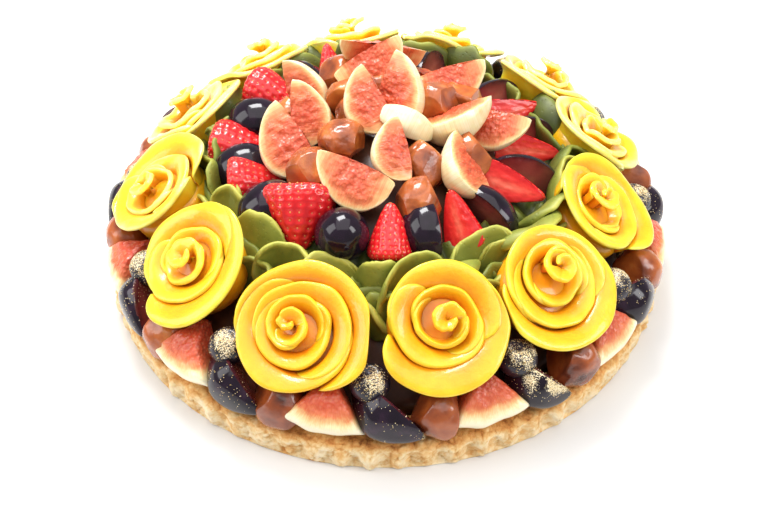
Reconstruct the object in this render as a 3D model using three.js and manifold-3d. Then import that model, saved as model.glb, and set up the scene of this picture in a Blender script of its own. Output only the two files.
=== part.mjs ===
// Fresh fruit tart, 24 cm across: a fluted shortcrust shell with a domed filling.
// A ring of rim fruit lies on its lip, twelve mango roses stand above that, piped green
// cream shows between them, then come strawberries and grapes, and fig wedges with
// candied chestnuts are heaped on the middle. The rim fruit and the fruit on the far side
// of the dome are each one heap, with the pieces that show fused to a bed of jelly.
// Millimetres, +Z up, origin under the middle. A bearing is 0 at the front (-Y) and grows
// towards +X; a direction is [bearing, elevation] in degrees.

import * as THREE from 'three';
import { mergeVertices } from 'three/addons/utils/BufferGeometryUtils.js';
import Module from 'manifold-3d';

const wasm = await Module();
wasm.setup();

// Driving dimensions
const GAP = 0.35;

const CRUST_RADIUS = 121;
const CRUST_HEIGHT = 13;
const CRUST_FLOOR = 5;
const LIP_WIDTH = 16;
const FLUTES = 60;
const FLUTE_DEPTH = 1.3;

const ROSES = 12;
const ROSE_RING_RADIUS = 96;
const ROSE_FOOT_RADIUS = 82;
const ROSE_HEIGHT = 50;
const ROSE_LEAN = 34;
const ROSE_RADIUS = 26;
const ROSE_DEPTH = 26;
const ROSE_FIRST_BEARING = -19;
const ROSE_NUDGES = [0.5, 1, 0.5, 1, 0, -4, -1, 0, -1, -4, -3, -2];
const ROSE_LIFTS = [0, 0, 0, 0, 2, 3, 6, 4, 4, 2, 0, 0];
const ROSE_SIZES = [1, 0.93, 1.02, 0.97, 0.95, 0.95, 0.98, 0.95, 0.97, 1, 0.98, 1.04];
const ROSE_TURNS = 3.5;
const ROSE_STEPS = 12;

const GRAPE_WIDTH = 21;
const GRAPE_LENGTH = 25;
const STRAWBERRY_WIDTH = 23;
const STRAWBERRY_LENGTH = 29;
const FIG_WIDTH = 35;
const FIG_LENGTH = 34;
const FIG_WEDGE_ANGLE = 52;
const CHESTNUT_WIDTH = 21;
const BLUEBERRY_WIDTH = 13.5;

const CREAM_BED = 2.5;
const FRILL_INSIDE = 57;
const FRILL_START = 68;
const FRILL_FOOT = 82;
const FRILL_REACH = 75;
const TONGUE_REACH = 16;
const FRILL_RISE = 7;
const TONGUE_RISE = 7;
const FRILL_WAVE = 1.6;

const RIM_GROUPS = 12;
const RIM_RADIUS = 112;
const RIM_FIRST_BEARING = -11.5;
const RIM_HEIGHT = 23;
const RIM_BED_RADIUS = 104;
const RIM_BED_HEIGHT = 21;
const RIM_CUT_RADIUS = 98;

// The filling's surface: its height above the table at each radius
const FILLING_TOP = [
  [0, 70], [22, 67], [40, 59], [54, 50.5], [68, 41.5], [82, 32.5], [94, 23.5], [103, 14.5],
];

const MATERIALS = {
  shortcrust: look(0xe3b778, 0.8),
  filling: look(0xc9a267, 0.6),
  mango: look(0xf5d21e, 0.28),
  pistachio_cream: look(0x8c9e45, 0.6),
  strawberry: look(0xde2a2a, 0.25),
  grape: look(0x1e1a2a, 0.15),
  fig: look(0xea7a58, 0.35),
  chestnut: look(0xa85f30, 0.25),
  rim_fruit: look(0x6b2e28, 0.35),
};

// The fruit is placed by hand. at is a bearing, a radius and how far the piece's middle
// is above the filling, tip is the direction of its long axis, and face is the direction
// that its cut side looks in.
const RING_FRUIT = [
  { kind: 'strawberry', at: [-36, 56, 9], tip: [-10, -35], face: [0, 60], size: 1 },
  { kind: 'grape', at: [-17, 57, 9], tip: [20, 55], face: [0, 0], size: 1 },
  { kind: 'strawberry', at: [2, 53, 8], tip: [180, 50], face: [0, 45], size: 0.78 },
  { kind: 'grape', at: [17, 55, 8], tip: [12, -35], face: [100, -10], size: 0.95, half: true },
  { kind: 'strawberry', at: [30, 56, 8], tip: [25, -30], face: [-75, 30], size: 0.85, half: true },
  { kind: 'grape', at: [45, 58, 8], tip: [50, -25], face: [-45, -5], size: 1, half: true },
  { kind: 'strawberry', at: [60, 56, 9], tip: [75, -15], face: [-15, 55], size: 0.92, half: true },
  { kind: 'grape', at: [74, 58, 8], tip: [82, -18], face: [-10, 25], size: 1, half: true },
  { kind: 'strawberry', at: [89, 59, 8], tip: [95, -12], face: [0, 50], size: 0.95, half: true },
  { kind: 'grape', at: [103, 59, 8], tip: [105, -12], face: [10, 30], size: 1, half: true },
  { kind: 'strawberry', at: [117, 59, 8], tip: [112, -8], face: [15, 50], size: 0.95, half: true },
  { kind: 'grape', at: [131, 59, 8], tip: [122, -5], face: [20, 30], size: 1, half: true },
  { kind: 'strawberry', at: [147, 59, 8], tip: [138, -10], face: [35, 50], size: 0.9, half: true },
  { kind: 'grape', at: [162, 59, 9], tip: [155, -12], face: [50, 20], size: 1, half: true },
  { kind: 'strawberry', at: [176, 60, 8], tip: [176, -20], face: [176, 70], size: 0.9 },
  { kind: 'grape', at: [190, 60, 10], tip: [190, -10], face: [190, 80], size: 1 },
  { kind: 'strawberry', at: [204, 60, 9], tip: [200, 55], face: [20, 30], size: 0.9 },
  { kind: 'grape', at: [219, 60, 9], tip: [215, -5], face: [-45, 25], size: 1, half: true },
  { kind: 'strawberry', at: [234, 60, 9], tip: [60, -5], face: [234, 60], size: 1 },
  { kind: 'grape', at: [252, 59, 9], tip: [262, -8], face: [262, 80], size: 1 },
  { kind: 'strawberry', at: [266, 61, 6], tip: [262, -12], face: [262, 70], size: 1 },
  { kind: 'grape', at: [280, 60, 7], tip: [281, -14], face: [281, 70], size: 1 },
  { kind: 'strawberry', at: [294, 59, 7], tip: [100, 5], face: [0, 80], size: 0.95 },
  { kind: 'grape', at: [309, 59, 8], tip: [295, -15], face: [295, 70], size: 1.05 },
];

// A fig wedge's face is its nearer cut side, and skin says on which side of that face
// the fig's skin lies when its tip is up.
const CENTRE_FIGS = [
  { at: [-73, 45, 11], tip: [-145, 42], face: [5, 50], skin: 'left', size: 1 },
  { at: [-122, 37, 12], tip: [-150, 58], face: [-20, 30], skin: 'right', size: 0.85 },
  { at: [-85, 29, 12], tip: [-172, 50], face: [0, 40], skin: 'right', size: 0.82 },
  { at: [-69, 11, 13], tip: [-135, 45], face: [10, 40], skin: 'left', size: 0.95 },
  { at: [-172, 25, 12], tip: [115, 20], face: [0, 45], skin: 'right', size: 1.02 },
  { at: [100, 9, 12], tip: [150, 55], face: [-35, 40], skin: 'right', size: 1 },
  { at: [122, 34, 12], tip: [100, 20], face: [0, 45], skin: 'right', size: 1 },
  { at: [73, 30, 12], tip: [95, 20], face: [-120, 50], skin: 'right', size: 0.95 },
  { at: [85, 45, 10], tip: [80, 0], face: [-20, 50], skin: 'right', size: 0.9 },
  { at: [43, 41, 11], tip: [-150, 55], face: [90, 40], skin: 'left', size: 0.85 },
  { at: [0, 28, 12], tip: [-165, 40], face: [20, 40], skin: 'left', size: 0.75 },
  { at: [-23, 41, 11], tip: [-110, 25], face: [0, 45], skin: 'left', size: 1 },
  { at: [30, 14, 11], tip: [-112, 15], face: [153, 16], skin: 'left', size: 0.78 },
];

// A chestnut that joins the one before it is pressed against it, and is one solid with it
const CENTRE_CHESTNUTS = [
  { at: [-104, 41, 9], tip: [-96, 20], face: [-20, 60], size: 1 },
  { at: [-43, 25, 8], tip: [-45, 60], face: [0, 10], size: 1 },
  { at: [-47, 40, 8], tip: [0, 75], face: [20, 0], size: 1, joins: true },
  { at: [102, 22, 9], tip: [90, 10], face: [0, 50], size: 1 },
  { at: [112, 34, 9], tip: [100, 10], face: [10, 40], size: 1.05, joins: true },
  { at: [31, 29, 8], tip: [60, 20], face: [-30, 40], size: 1 },
  { at: [63, 38, 8], tip: [60, 10], face: [-20, 50], size: 1 },
  { at: [17, 42, 8], tip: [60, -10], face: [-20, 50], size: 1 },
];

// Fig wedges and chestnuts lying low on the far side of the dome, as one heap
const BACK_FRUIT = [
  { kind: 'chestnut', at: [-150, 40, 10], tip: [-140, 30], face: [0, 30], size: 1 },
  { kind: 'fig', at: [-171, 43, 6], tip: [-80, 5], face: [-171, 60], skin: 'right', size: 0.85 },
  { kind: 'chestnut', at: [171, 40, 5], tip: [90, 10], face: [170, 60], size: 0.95 },
  { kind: 'fig', at: [150, 42, 6], tip: [50, 5], face: [150, 60], skin: 'left', size: 0.8 },
  { kind: 'chestnut', at: [-166, 22, 5], tip: [-60, 20], face: [180, 50], size: 0.9 },
  { kind: 'fig', at: [165, 22, 6], tip: [70, 10], face: [165, 60], skin: 'left', size: 0.75 },
  { kind: 'chestnut', at: [-128, 22, 5], tip: [-100, 20], face: [180, 50], size: 0.9 },
];
const BACK_BED_RADII = [14, 22, 40, 47];
const BACK_BED_HEIGHT = 3;
const BACK_BED_HALF_ANGLE = 44;

function look(color, roughness) {
  return new THREE.MeshStandardMaterial({ color, roughness, metalness: 0 });
}

function radians(degrees) {
  return degrees * Math.PI / 180;
}

function mix(a, b, share) {
  return a + (b - a) * share;
}

// The same draw from 0 to 1 for the same seed
function draw(seed) {
  const wave = Math.sin(seed * 127.1 + 11.7) * 43758.5453;
  return wave - Math.floor(wave);
}

function onRing(bearing, radius, height) {
  const angle = radians(bearing);
  return new THREE.Vector3(radius * Math.sin(angle), -radius * Math.cos(angle), height);
}

function direction([bearing, elevation]) {
  const rise = radians(elevation);
  return onRing(bearing, Math.cos(rise), Math.sin(rise));
}

function fillingHeight(radius) {
  const last = FILLING_TOP.length - 1;
  for (let i = 0; i < last; i += 1) {
    const [r0, z0] = FILLING_TOP[i];
    const [r1, z1] = FILLING_TOP[i + 1];
    if (radius <= r1) {
      return mix(z0, z1, (radius - r0) / (r1 - r0));
    }
  }
  return FILLING_TOP[last][1];
}

// Geometry with shared vertices merged and faces that shrank to a line dropped
function closed(geometry) {
  geometry.deleteAttribute('normal');
  geometry.deleteAttribute('uv');
  const welded = mergeVertices(geometry, 1e-4);
  const kept = [];
  const index = welded.index.array;
  for (let i = 0; i < index.length; i += 3) {
    const [a, b, c] = [index[i], index[i + 1], index[i + 2]];
    if (a !== b && b !== c && c !== a) {
      kept.push(a, b, c);
    }
  }
  welded.setIndex(kept);
  return welded;
}

function solid(geometry) {
  const welded = closed(geometry);
  const vertProperties = new Float32Array(welded.attributes.position.array);
  const triVerts = new Uint32Array(welded.index.array);
  return new wasm.Manifold(new wasm.Mesh({ numProp: 3, vertProperties, triVerts }));
}

function geometryOf(body) {
  const mesh = body.getMesh();
  const geometry = new THREE.BufferGeometry();
  geometry.setAttribute('position', new THREE.BufferAttribute(new Float32Array(mesh.vertProperties), 3));
  geometry.setIndex(Array.from(mesh.triVerts));
  return geometry;
}

function largest(body) {
  return body.decompose().reduce((best, next) => (next.volume() > best.volume() ? next : best));
}

// The body with every face moved outwards by the gap, so that what it cuts stays clear.
// Each vertex is pushed along its faces' normals until it is the gap clear of them all.
function grown(body) {
  const mesh = body.getMesh();
  const vertProperties = new Float32Array(mesh.vertProperties);
  const count = vertProperties.length / 3;
  const normals = Array.from({ length: count }, () => []);
  const at = (i) => new THREE.Vector3().fromArray(mesh.vertProperties, i * 3);
  for (let t = 0; t < mesh.triVerts.length; t += 3) {
    const corners = [mesh.triVerts[t], mesh.triVerts[t + 1], mesh.triVerts[t + 2]];
    const [a, b, c] = corners.map(at);
    const normal = b.clone().sub(a).cross(c.clone().sub(a));
    if (normal.length() > 1e-9) {
      normal.normalize();
      corners.forEach((corner) => normals[corner].push(normal));
    }
  }
  for (let i = 0; i < count; i += 1) {
    const move = new THREE.Vector3();
    for (let pass = 0; pass < 24; pass += 1) {
      normals[i].forEach((normal) => {
        move.addScaledVector(normal, Math.max(0, GAP - move.dot(normal)));
      });
    }
    at(i).add(move).toArray(vertProperties, i * 3);
  }
  return new wasm.Manifold(new wasm.Mesh({ numProp: 3, vertProperties, triVerts: mesh.triVerts }));
}

function boxesMeet(a, b) {
  const p = a.boundingBox();
  const q = b.boundingBox();
  return [0, 1, 2].every((k) => p.min[k] < q.max[k] && q.min[k] < p.max[k]);
}

// The largest part of a body that is left clear of all the others
function clearOf(body, others) {
  const rest = others.reduce((left, other) => (
    boxesMeet(left, other) ? left.subtract(other) : left), body);
  return largest(rest);
}

function middleOf(body) {
  const { min, max } = body.boundingBox();
  return new THREE.Vector3(...min).add(new THREE.Vector3(...max)).multiplyScalar(0.5);
}

// Two bodies that press together, both cut flat on the plane between them
function parted(a, b) {
  const shared = a.intersect(b);
  if (shared.isEmpty()) {
    return [a, b];
  }
  const normal = middleOf(a).sub(middleOf(b)).normalize();
  const offset = normal.dot(middleOf(shared));
  return [
    a.trimByPlane(normal.toArray(), offset + GAP / 2),
    b.trimByPlane(normal.clone().negate().toArray(), -offset + GAP / 2),
  ];
}

// The body cut flat along whatever of each other body it runs into
function heldOff(body, others) {
  return others.reduce((rest, other) => {
    const shared = boxesMeet(rest, other) ? rest.intersect(other) : null;
    if (!shared || shared.isEmpty()) {
      return rest;
    }
    const normal = middleOf(rest).sub(middleOf(other)).normalize();
    const corners = shared.getMesh().vertProperties;
    let offset = -Infinity;
    for (let i = 0; i < corners.length; i += 3) {
      offset = Math.max(offset, normal.dot(new THREE.Vector3().fromArray(corners, i)));
    }
    return rest.trimByPlane(normal.toArray(), offset);
  }, body);
}

// A body turned from a profile of [radius, height] points about the Z axis
function turned(profile, segments) {
  const points = profile.map(([radius, height]) => new THREE.Vector2(radius, height));
  return new THREE.LatheGeometry(points, segments).rotateX(Math.PI / 2);
}

// Moves each vertex of a geometry by a rule from its place
function shaped(geometry, rule) {
  const position = geometry.attributes.position;
  const point = new THREE.Vector3();
  for (let i = 0; i < position.count; i += 1) {
    point.fromBufferAttribute(position, i);
    rule(point);
    position.setXYZ(i, point.x, point.y, point.z);
  }
  return geometry;
}

// A closed band round the tart from rings of section points, one ring for each bearing
function band(sections) {
  const rows = sections[0].length;
  const faces = [];
  sections.forEach((_, i) => {
    const next = (i + 1) % sections.length;
    for (let j = 0; j < rows; j += 1) {
      const up = (j + 1) % rows;
      const [a, b, c, d] = [i * rows + j, next * rows + j, next * rows + up, i * rows + up];
      faces.push(a, b, c, a, c, d);
    }
  });
  const geometry = new THREE.BufferGeometry().setFromPoints(sections.flat());
  geometry.setIndex(faces);
  return solid(geometry);
}

// The matrix that sets a piece at its place, its long axis to tip and its cut side to face
function setting(place, tip, face) {
  const axis = direction(tip);
  const front = direction(face);
  front.addScaledVector(axis, -front.dot(axis)).normalize();
  const side = new THREE.Vector3().crossVectors(front, axis);
  return new THREE.Matrix4().makeBasis(side, front, axis).setPosition(place);
}

// The body cut flat above the filling, whose slope is taken at the given place
function onFilling(body, bearing, radius, lift = GAP) {
  const rise = fillingHeight(radius - 1) - fillingHeight(radius + 1);
  const normal = onRing(bearing, rise, 2).normalize();
  const foot = onRing(bearing, radius, fillingHeight(radius));
  return body.trimByPlane(normal.toArray(), normal.dot(foot) + lift);
}

function setPiece(body, { at: [bearing, radius, rise], tip, face, size }, lift = GAP) {
  const place = onRing(bearing, radius, fillingHeight(radius) + rise);
  const matrix = setting(place, tip, face).scale(new THREE.Vector3(size, size, size));
  return onFilling(body.transform(matrix.elements), bearing, radius, lift);
}

function crust() {
  const lip = CRUST_RADIUS - LIP_WIDTH;
  const profile = [
    [0, 0],
    [CRUST_RADIUS - 2, 0],
    [CRUST_RADIUS, CRUST_HEIGHT * 0.6],
    [CRUST_RADIUS - 3, CRUST_HEIGHT],
    [lip, CRUST_HEIGHT - 1],
    [lip - 0.5, CRUST_FLOOR],
    [0, CRUST_FLOOR],
  ];
  return solid(shaped(turned(profile, FLUTES * 2), (point) => {
    const radius = Math.hypot(point.x, point.y);
    const share = Math.max(0, (radius - CRUST_RADIUS + 4) / 4);
    const flute = FLUTE_DEPTH * share * Math.cos(Math.atan2(point.y, point.x) * FLUTES);
    point.x *= radius > 0 ? 1 + flute / radius : 1;
    point.y *= radius > 0 ? 1 + flute / radius : 1;
  }));
}

function filling() {
  const inside = FILLING_TOP.at(-1)[0];
  const bottom = CRUST_FLOOR + GAP;
  const top = FILLING_TOP.slice().reverse();
  return solid(turned([[0, bottom], [inside, bottom], ...top], 24));
}

// A rose: one long slice coiled outwards from its bud, its edge a ridge above a groove
function rose(index) {
  const steps = ROSE_STEPS;
  const last = Math.round(ROSE_TURNS * steps);
  const start = draw(index + 3) * 2 * Math.PI;
  const ridge = [];
  const groove = [];
  for (let k = 0; k <= last; k += 1) {
    const share = k / last;
    const angle = start + k / steps * 2 * Math.PI;
    const wave = Math.sin(angle * 1.4 + index) * share;
    const radius = mix(2.4, ROSE_RADIUS - 2, share ** 0.92) * (1 + 0.03 * wave);
    const height = -1 - 5 * Math.sin(Math.PI * share) + 1.3 * wave;
    const outside = radius + 2;
    const depth = share > 1 - 1 / ROSE_TURNS ? 1.6 : mix(4, 6.5, share);
    ridge.push(new THREE.Vector3(radius * Math.cos(angle), radius * Math.sin(angle), height));
    groove.push(new THREE.Vector3(outside * Math.cos(angle), outside * Math.sin(angle), height - depth));
  }
  const points = [...ridge, ...groove];
  const grooveAt = (k) => last + 1 + k;
  const faces = [];
  const quad = (a, b, c, d) => faces.push(a, b, c, a, c, d);
  const fan = (rim, height, turn) => {
    const middle = points.push(new THREE.Vector3(0, 0, height)) - 1;
    rim.forEach((a, i) => {
      const b = rim[(i + 1) % rim.length];
      faces.push(middle, turn ? b : a, turn ? a : b);
    });
  };
  for (let k = 0; k < last; k += 1) {
    quad(k, grooveAt(k), grooveAt(k + 1), k + 1);
    if (k + steps < last) {
      quad(grooveAt(k), k + steps, k + steps + 1, grooveAt(k + 1));
    }
  }
  const bud = Array.from({ length: steps + 1 }, (_, k) => k);
  fan([...bud, grooveAt(0)], -3.5, false);
  const rim = Array.from({ length: steps + 1 }, (_, k) => grooveAt(last - steps + k));
  rim.push(last);
  let edge = rim;
  for (const [share, depth] of [[0.74, 0.5], [0.5, 1]]) {
    const ring = edge.map((_, n) => {
      const way = points[rim[n]].clone().setZ(0).normalize();
      return points.push(way.multiplyScalar(ROSE_RADIUS * share).setZ(-ROSE_DEPTH * depth)) - 1;
    });
    edge.forEach((a, n) => {
      const next = (n + 1) % edge.length;
      quad(a, ring[n], ring[next], edge[next]);
    });
    edge = ring;
  }
  fan(edge, -ROSE_DEPTH, true);
  const geometry = new THREE.BufferGeometry().setFromPoints(points);
  geometry.setIndex(faces);
  return solid(geometry);
}

// The plain cup that a rose fills
function roseCup() {
  const profile = [
    [0, -ROSE_DEPTH], [ROSE_RADIUS * 0.55, -ROSE_DEPTH], [ROSE_RADIUS * 0.8, -ROSE_DEPTH * 0.5],
    [ROSE_RADIUS * 1.13, 1.5], [0, 1.5],
  ];
  return solid(turned(profile, 9));
}

function roseBearing(index) {
  return ROSE_FIRST_BEARING + index * 360 / ROSES + ROSE_NUDGES[(index + ROSES) % ROSES];
}

// A rose body at its place, cut flat where it meets the filling and the next roses
function placedRose(body, index) {
  const bearing = roseBearing(index);
  const size = ROSE_SIZES[index];
  const place = onRing(bearing, ROSE_RING_RADIUS, ROSE_HEIGHT + ROSE_LIFTS[index]);
  const matrix = setting(place, [bearing, 90 - ROSE_LEAN], [bearing, -ROSE_LEAN])
    .scale(new THREE.Vector3(size, size, size));
  const before = onRing((bearing + roseBearing(index - 1)) / 2 + 90, 1, 0);
  const after = onRing((bearing + roseBearing(index + 1)) / 2 - 90, 1, 0);
  return onFilling(body.transform(matrix.elements), bearing, ROSE_FOOT_RADIUS)
    .trimByPlane(before.toArray(), GAP / 2)
    .trimByPlane(after.toArray(), GAP / 2);
}

// A grape with its long axis up, whole or with one side cut off flat
function grape(half, segments) {
  const radius = GRAPE_WIDTH / 2;
  const ball = new THREE.SphereGeometry(1, segments, Math.max(4, segments - 3)).rotateX(Math.PI / 2);
  const whole = solid(ball.scale(radius, radius, GRAPE_LENGTH / 2));
  return half ? whole.trimByPlane([0, -1, 0], -0.12 * GRAPE_WIDTH) : whole;
}

// A strawberry with its tip up, whole or with one side cut off flat
function strawberry(half) {
  const radius = STRAWBERRY_WIDTH / 2;
  const top = STRAWBERRY_LENGTH / 2;
  const profile = [
    [0, -top], [radius * 0.7, -top * 0.92], [radius, -top * 0.4], [radius * 0.86, top * 0.15],
    [radius * 0.45, top * 0.75], [0, top],
  ];
  const whole = solid(turned(profile, 7));
  return half ? whole.trimByPlane([0, -1, 0], -0.1 * STRAWBERRY_WIDTH) : whole;
}

// A wedge of a peeled fig. One cut face looks to +Y, the core lies along Z, and the skin
// is on the left or right of that face when its tip is up.
function figWedge(skin) {
  const radius = FIG_WIDTH / 2;
  const top = FIG_LENGTH / 2;
  const profile = [
    [0, -top], [radius * 0.62, -top * 0.82], [radius, -top * 0.2], [radius * 0.84, top * 0.4],
    [radius * 0.4, top * 0.85], [0, top],
  ];
  const angle = radians(FIG_WEDGE_ANGLE);
  const side = skin === 'left' ? 1 : -1;
  const wedge = solid(turned(profile, 12))
    .trimByPlane([0, -1, 0], 0)
    .trimByPlane([side * Math.sin(angle), Math.cos(angle), 0], 0);
  return wedge.translate([-side * radius * 0.5, radius * 0.25, 0]);
}

// A candied chestnut: a lump with one broken side
function chestnut(seed) {
  const radius = CHESTNUT_WIDTH / 2;
  const lump = shaped(new THREE.SphereGeometry(1, 6, 4), (point) => {
    const bulge = 1 + 0.08 * Math.sin(point.x * 2.3 + seed) + 0.08 * Math.cos(point.y * 3.1 + seed * 2);
    point.multiplyScalar(bulge);
  });
  return solid(lump.scale(radius, radius * 0.9, radius * 0.8)).trimByPlane([0, -1, 0.2], -radius * 0.55);
}

function blueberry() {
  const radius = BLUEBERRY_WIDTH / 2;
  return solid(new THREE.SphereGeometry(radius, 5, 4).rotateX(Math.PI / 2));
}

function ringFruit() {
  const bodies = RING_FRUIT.map((piece) => {
    const body = piece.kind === 'grape' ? grape(piece.half, 8) : strawberry(piece.half);
    return setPiece(body, piece, CREAM_BED + GAP);
  });
  bodies.forEach((_, i) => {
    const next = (i + 1) % bodies.length;
    [bodies[i], bodies[next]] = parted(bodies[i], bodies[next]);
  });
  return bodies;
}

// The candied chestnuts, those that are pressed together joined
function chestnutHeaps() {
  const heaps = [];
  CENTRE_CHESTNUTS.forEach((piece, index) => {
    const body = setPiece(chestnut(index), piece);
    heaps.push(piece.joins ? heaps.pop().add(body) : body);
  });
  return heaps;
}

// The heap on the far side, its pieces fused to a thin bed of jelly
function backFruit() {
  const foot = BACK_BED_RADII.map((radius) => [radius, fillingHeight(radius) + GAP]);
  const top = BACK_BED_RADII.map((radius) => [radius, fillingHeight(radius) + BACK_BED_HEIGHT]);
  const bed = solid(turned([...foot, ...top.reverse(), foot[0]], 24))
    .trimByPlane(onRing(90 + BACK_BED_HALF_ANGLE, 1, 0).toArray(), 0)
    .trimByPlane(onRing(-90 - BACK_BED_HALF_ANGLE, 1, 0).toArray(), 0);
  const pieces = BACK_FRUIT.map((piece, index) => (
    setPiece(piece.kind === 'fig' ? figWedge(piece.skin) : chestnut(index + ROSES), piece)));
  return pieces.reduce((heap, piece) => heap.add(piece), bed);
}

// Piped cream: a collar with a waved edge, and a tongue of it between each two roses
function creamFrill() {
  const steps = 54;
  const sections = Array.from({ length: steps }, (_, i) => {
    const bearing = i * 360 / steps;
    const turn = radians(bearing - ROSE_FIRST_BEARING);
    const tongue = Math.max(0, -Math.cos(turn * ROSES)) ** 1.2;
    const wave = FRILL_WAVE * Math.sin(turn * 24 + 1.2 * Math.sin(turn * 3));
    const reach = FRILL_REACH + TONGUE_REACH * tongue + wave;
    const rise = FRILL_RISE + TONGUE_RISE * tongue + wave;
    const crest = mix(FRILL_START, reach, 0.55);
    return [
      [FRILL_INSIDE, GAP],
      [FRILL_START, GAP],
      [Math.min(FRILL_FOOT, Math.max(FRILL_START + 1, reach - 3)), GAP],
      [reach, rise],
      [crest, rise + 1],
      [FRILL_START, CREAM_BED - 0.2],
    ].map(([radius, height]) => onRing(bearing, radius, fillingHeight(radius) + height));
  });
  return band(sections);
}

// One group of rim fruit: a fig wedge, a grape, a chestnut and, higher up, a blueberry
function rimGroup(index) {
  const bearing = RIM_FIRST_BEARING + index * 360 / RIM_GROUPS + 2 * (draw(index) - 0.5);
  const tilt = 20 * (draw(index + 40) - 0.5);
  const pieces = [
    [figWedge('right'), bearing, RIM_RADIUS, RIM_HEIGHT + 4, [bearing + 90, tilt], [bearing, 45]],
    [grape(index % 3 > 0, 6), bearing + 12, RIM_RADIUS, RIM_HEIGHT, [bearing + 12, 25], [bearing + 102, 10]],
    [chestnut(index), bearing + 20, RIM_RADIUS, RIM_HEIGHT, [bearing, tilt * 2], [bearing + 160, 30]],
    [blueberry(), bearing + 8, RIM_RADIUS - 5, RIM_HEIGHT + 11, [bearing, 90], [bearing, 0]],
  ];
  return pieces.map(([body, at, radius, height, tip, face]) => {
    const set = body.transform(setting(onRing(at, radius, height), tip, face).elements);
    return onFilling(set, at, RIM_CUT_RADIUS).trimByPlane([0, 0, 1], CRUST_HEIGHT + GAP);
  });
}

// The bed of jelly that holds the rim fruit together
function rimBed() {
  const foot = CRUST_HEIGHT + GAP;
  const profile = [
    [RIM_BED_RADIUS, RIM_BED_HEIGHT], [RIM_BED_RADIUS, foot], [RIM_RADIUS, foot],
    [RIM_BED_RADIUS, RIM_BED_HEIGHT],
  ];
  return solid(turned(profile, 24));
}

function rimFruit() {
  const pieces = Array.from({ length: RIM_GROUPS }, (_, index) => rimGroup(index)).flat();
  return pieces.reduce((heap, piece) => heap.add(piece), rimBed());
}

const tart = new THREE.Group();

function lay(name, material, body) {
  const mesh = new THREE.Mesh(geometryOf(body), material);
  mesh.name = name;
  tart.add(mesh);
}

function layNumbered(name, material, index, body) {
  lay(`${name}_${String(index + 1).padStart(2, '0')}`, material, body);
}

lay('crust', MATERIALS.shortcrust, crust());
lay('filling', MATERIALS.filling, filling());

const roses = Array.from({ length: ROSES }, (_, index) => largest(placedRose(rose(index), index)));
const cups = roses.map((_, index) => grown(placedRose(roseCup(), index)));
roses.forEach((body, index) => layNumbered('rose', MATERIALS.mango, index, body));

const figs = [];
CENTRE_FIGS.forEach((piece, index) => {
  const body = clearOf(setPiece(figWedge(piece.skin), piece), figs);
  layNumbered('fig', MATERIALS.fig, index, body);
  figs.push(grown(body));
});

const ring = [];
ringFruit().forEach((whole, index) => {
  const { kind } = RING_FRUIT[index];
  const body = heldOff(whole, [...figs, ...cups]);
  layNumbered(kind, MATERIALS[kind], Math.floor(index / 2), body);
  ring.push(grown(body));
});

const chestnuts = [];
chestnutHeaps().forEach((whole, index) => {
  const body = largest(heldOff(whole, [...figs, ...ring, ...chestnuts]));
  layNumbered('chestnut', MATERIALS.chestnut, index, body);
  chestnuts.push(grown(body));
});

const back = clearOf(backFruit(), [...figs, ...ring, ...chestnuts]);
lay('back_fruit', MATERIALS.fig, back);

const frill = clearOf(creamFrill(), [...cups, ...ring, ...figs, ...chestnuts, grown(back)]);
lay('cream_frill', MATERIALS.pistachio_cream, frill);
lay('rim_fruit', MATERIALS.rim_fruit, clearOf(rimFruit(), [...cups, grown(frill)]));

export default tart;
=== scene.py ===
# Looks of a fresh fruit tart: a scalloped shortcrust shell with a domed filling, a ring of
# rim fruit on its lip, twelve mango roses, piped green cream, strawberries and grapes,
# and fig wedges with candied chestnuts heaped on the middle.
# Shapes are worked out in millimetres and turned to metres when a piece is finished.
# A bearing is 0 at the front (-Y) and grows towards +X. A direction is (bearing, elevation).
import math
import random

import bmesh
import bpy
from mathutils import Matrix, Vector, kdtree, noise


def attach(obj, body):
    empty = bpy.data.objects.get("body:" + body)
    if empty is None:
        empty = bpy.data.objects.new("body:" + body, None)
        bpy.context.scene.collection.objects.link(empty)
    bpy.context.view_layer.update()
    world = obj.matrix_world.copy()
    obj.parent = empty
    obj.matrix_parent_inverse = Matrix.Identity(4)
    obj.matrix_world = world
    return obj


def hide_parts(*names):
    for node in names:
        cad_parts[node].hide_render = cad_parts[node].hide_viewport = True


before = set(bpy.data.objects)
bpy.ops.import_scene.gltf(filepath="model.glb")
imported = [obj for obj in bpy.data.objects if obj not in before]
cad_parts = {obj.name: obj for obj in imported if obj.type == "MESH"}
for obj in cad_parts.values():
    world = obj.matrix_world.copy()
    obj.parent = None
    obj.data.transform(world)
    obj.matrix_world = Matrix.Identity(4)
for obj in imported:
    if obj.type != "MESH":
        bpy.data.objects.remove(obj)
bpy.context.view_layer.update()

MM = 0.001
SEAM = 0.004
FLAT_SHARE = 0.42
RANDOM_PHASE = 6.28

# The filling's surface: its height above the table at each radius
FILLING_TOP = [
    (0, 70), (22, 67), (40, 59), (54, 50.5), (68, 41.5), (82, 32.5), (94, 23.5), (103, 14.5),
]

CRUST_RADIUS = 121.4
CRUST_HEIGHT = 13
FLUTES = 70
FLUTE_DEPTH = 1.3

ROSE_RING_RADIUS = 96
ROSE_HEIGHT = 50
ROSE_LEAN = 34
ROSE_DEPTH = 23
ROSE_FIRST_BEARING = -19
ROSE_PITCH = 30
SLICE_THICKNESS = 2.1

GRAPE_WIDTH = 21
GRAPE_LENGTH = 25
STRAWBERRY_WIDTH = 23
STRAWBERRY_LENGTH = 29
FIG_WIDTH = 35
FIG_LENGTH = 34
FIG_WEDGE_ANGLE = 52
FIG_RIND = 4
RIM_FIG_RIND = 8.0
RIND_DEPTH = 0.36
FIBRE_REACH = 12
CHESTNUT_WIDTH = 21
BLUEBERRY_WIDTH = 13.5

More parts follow.
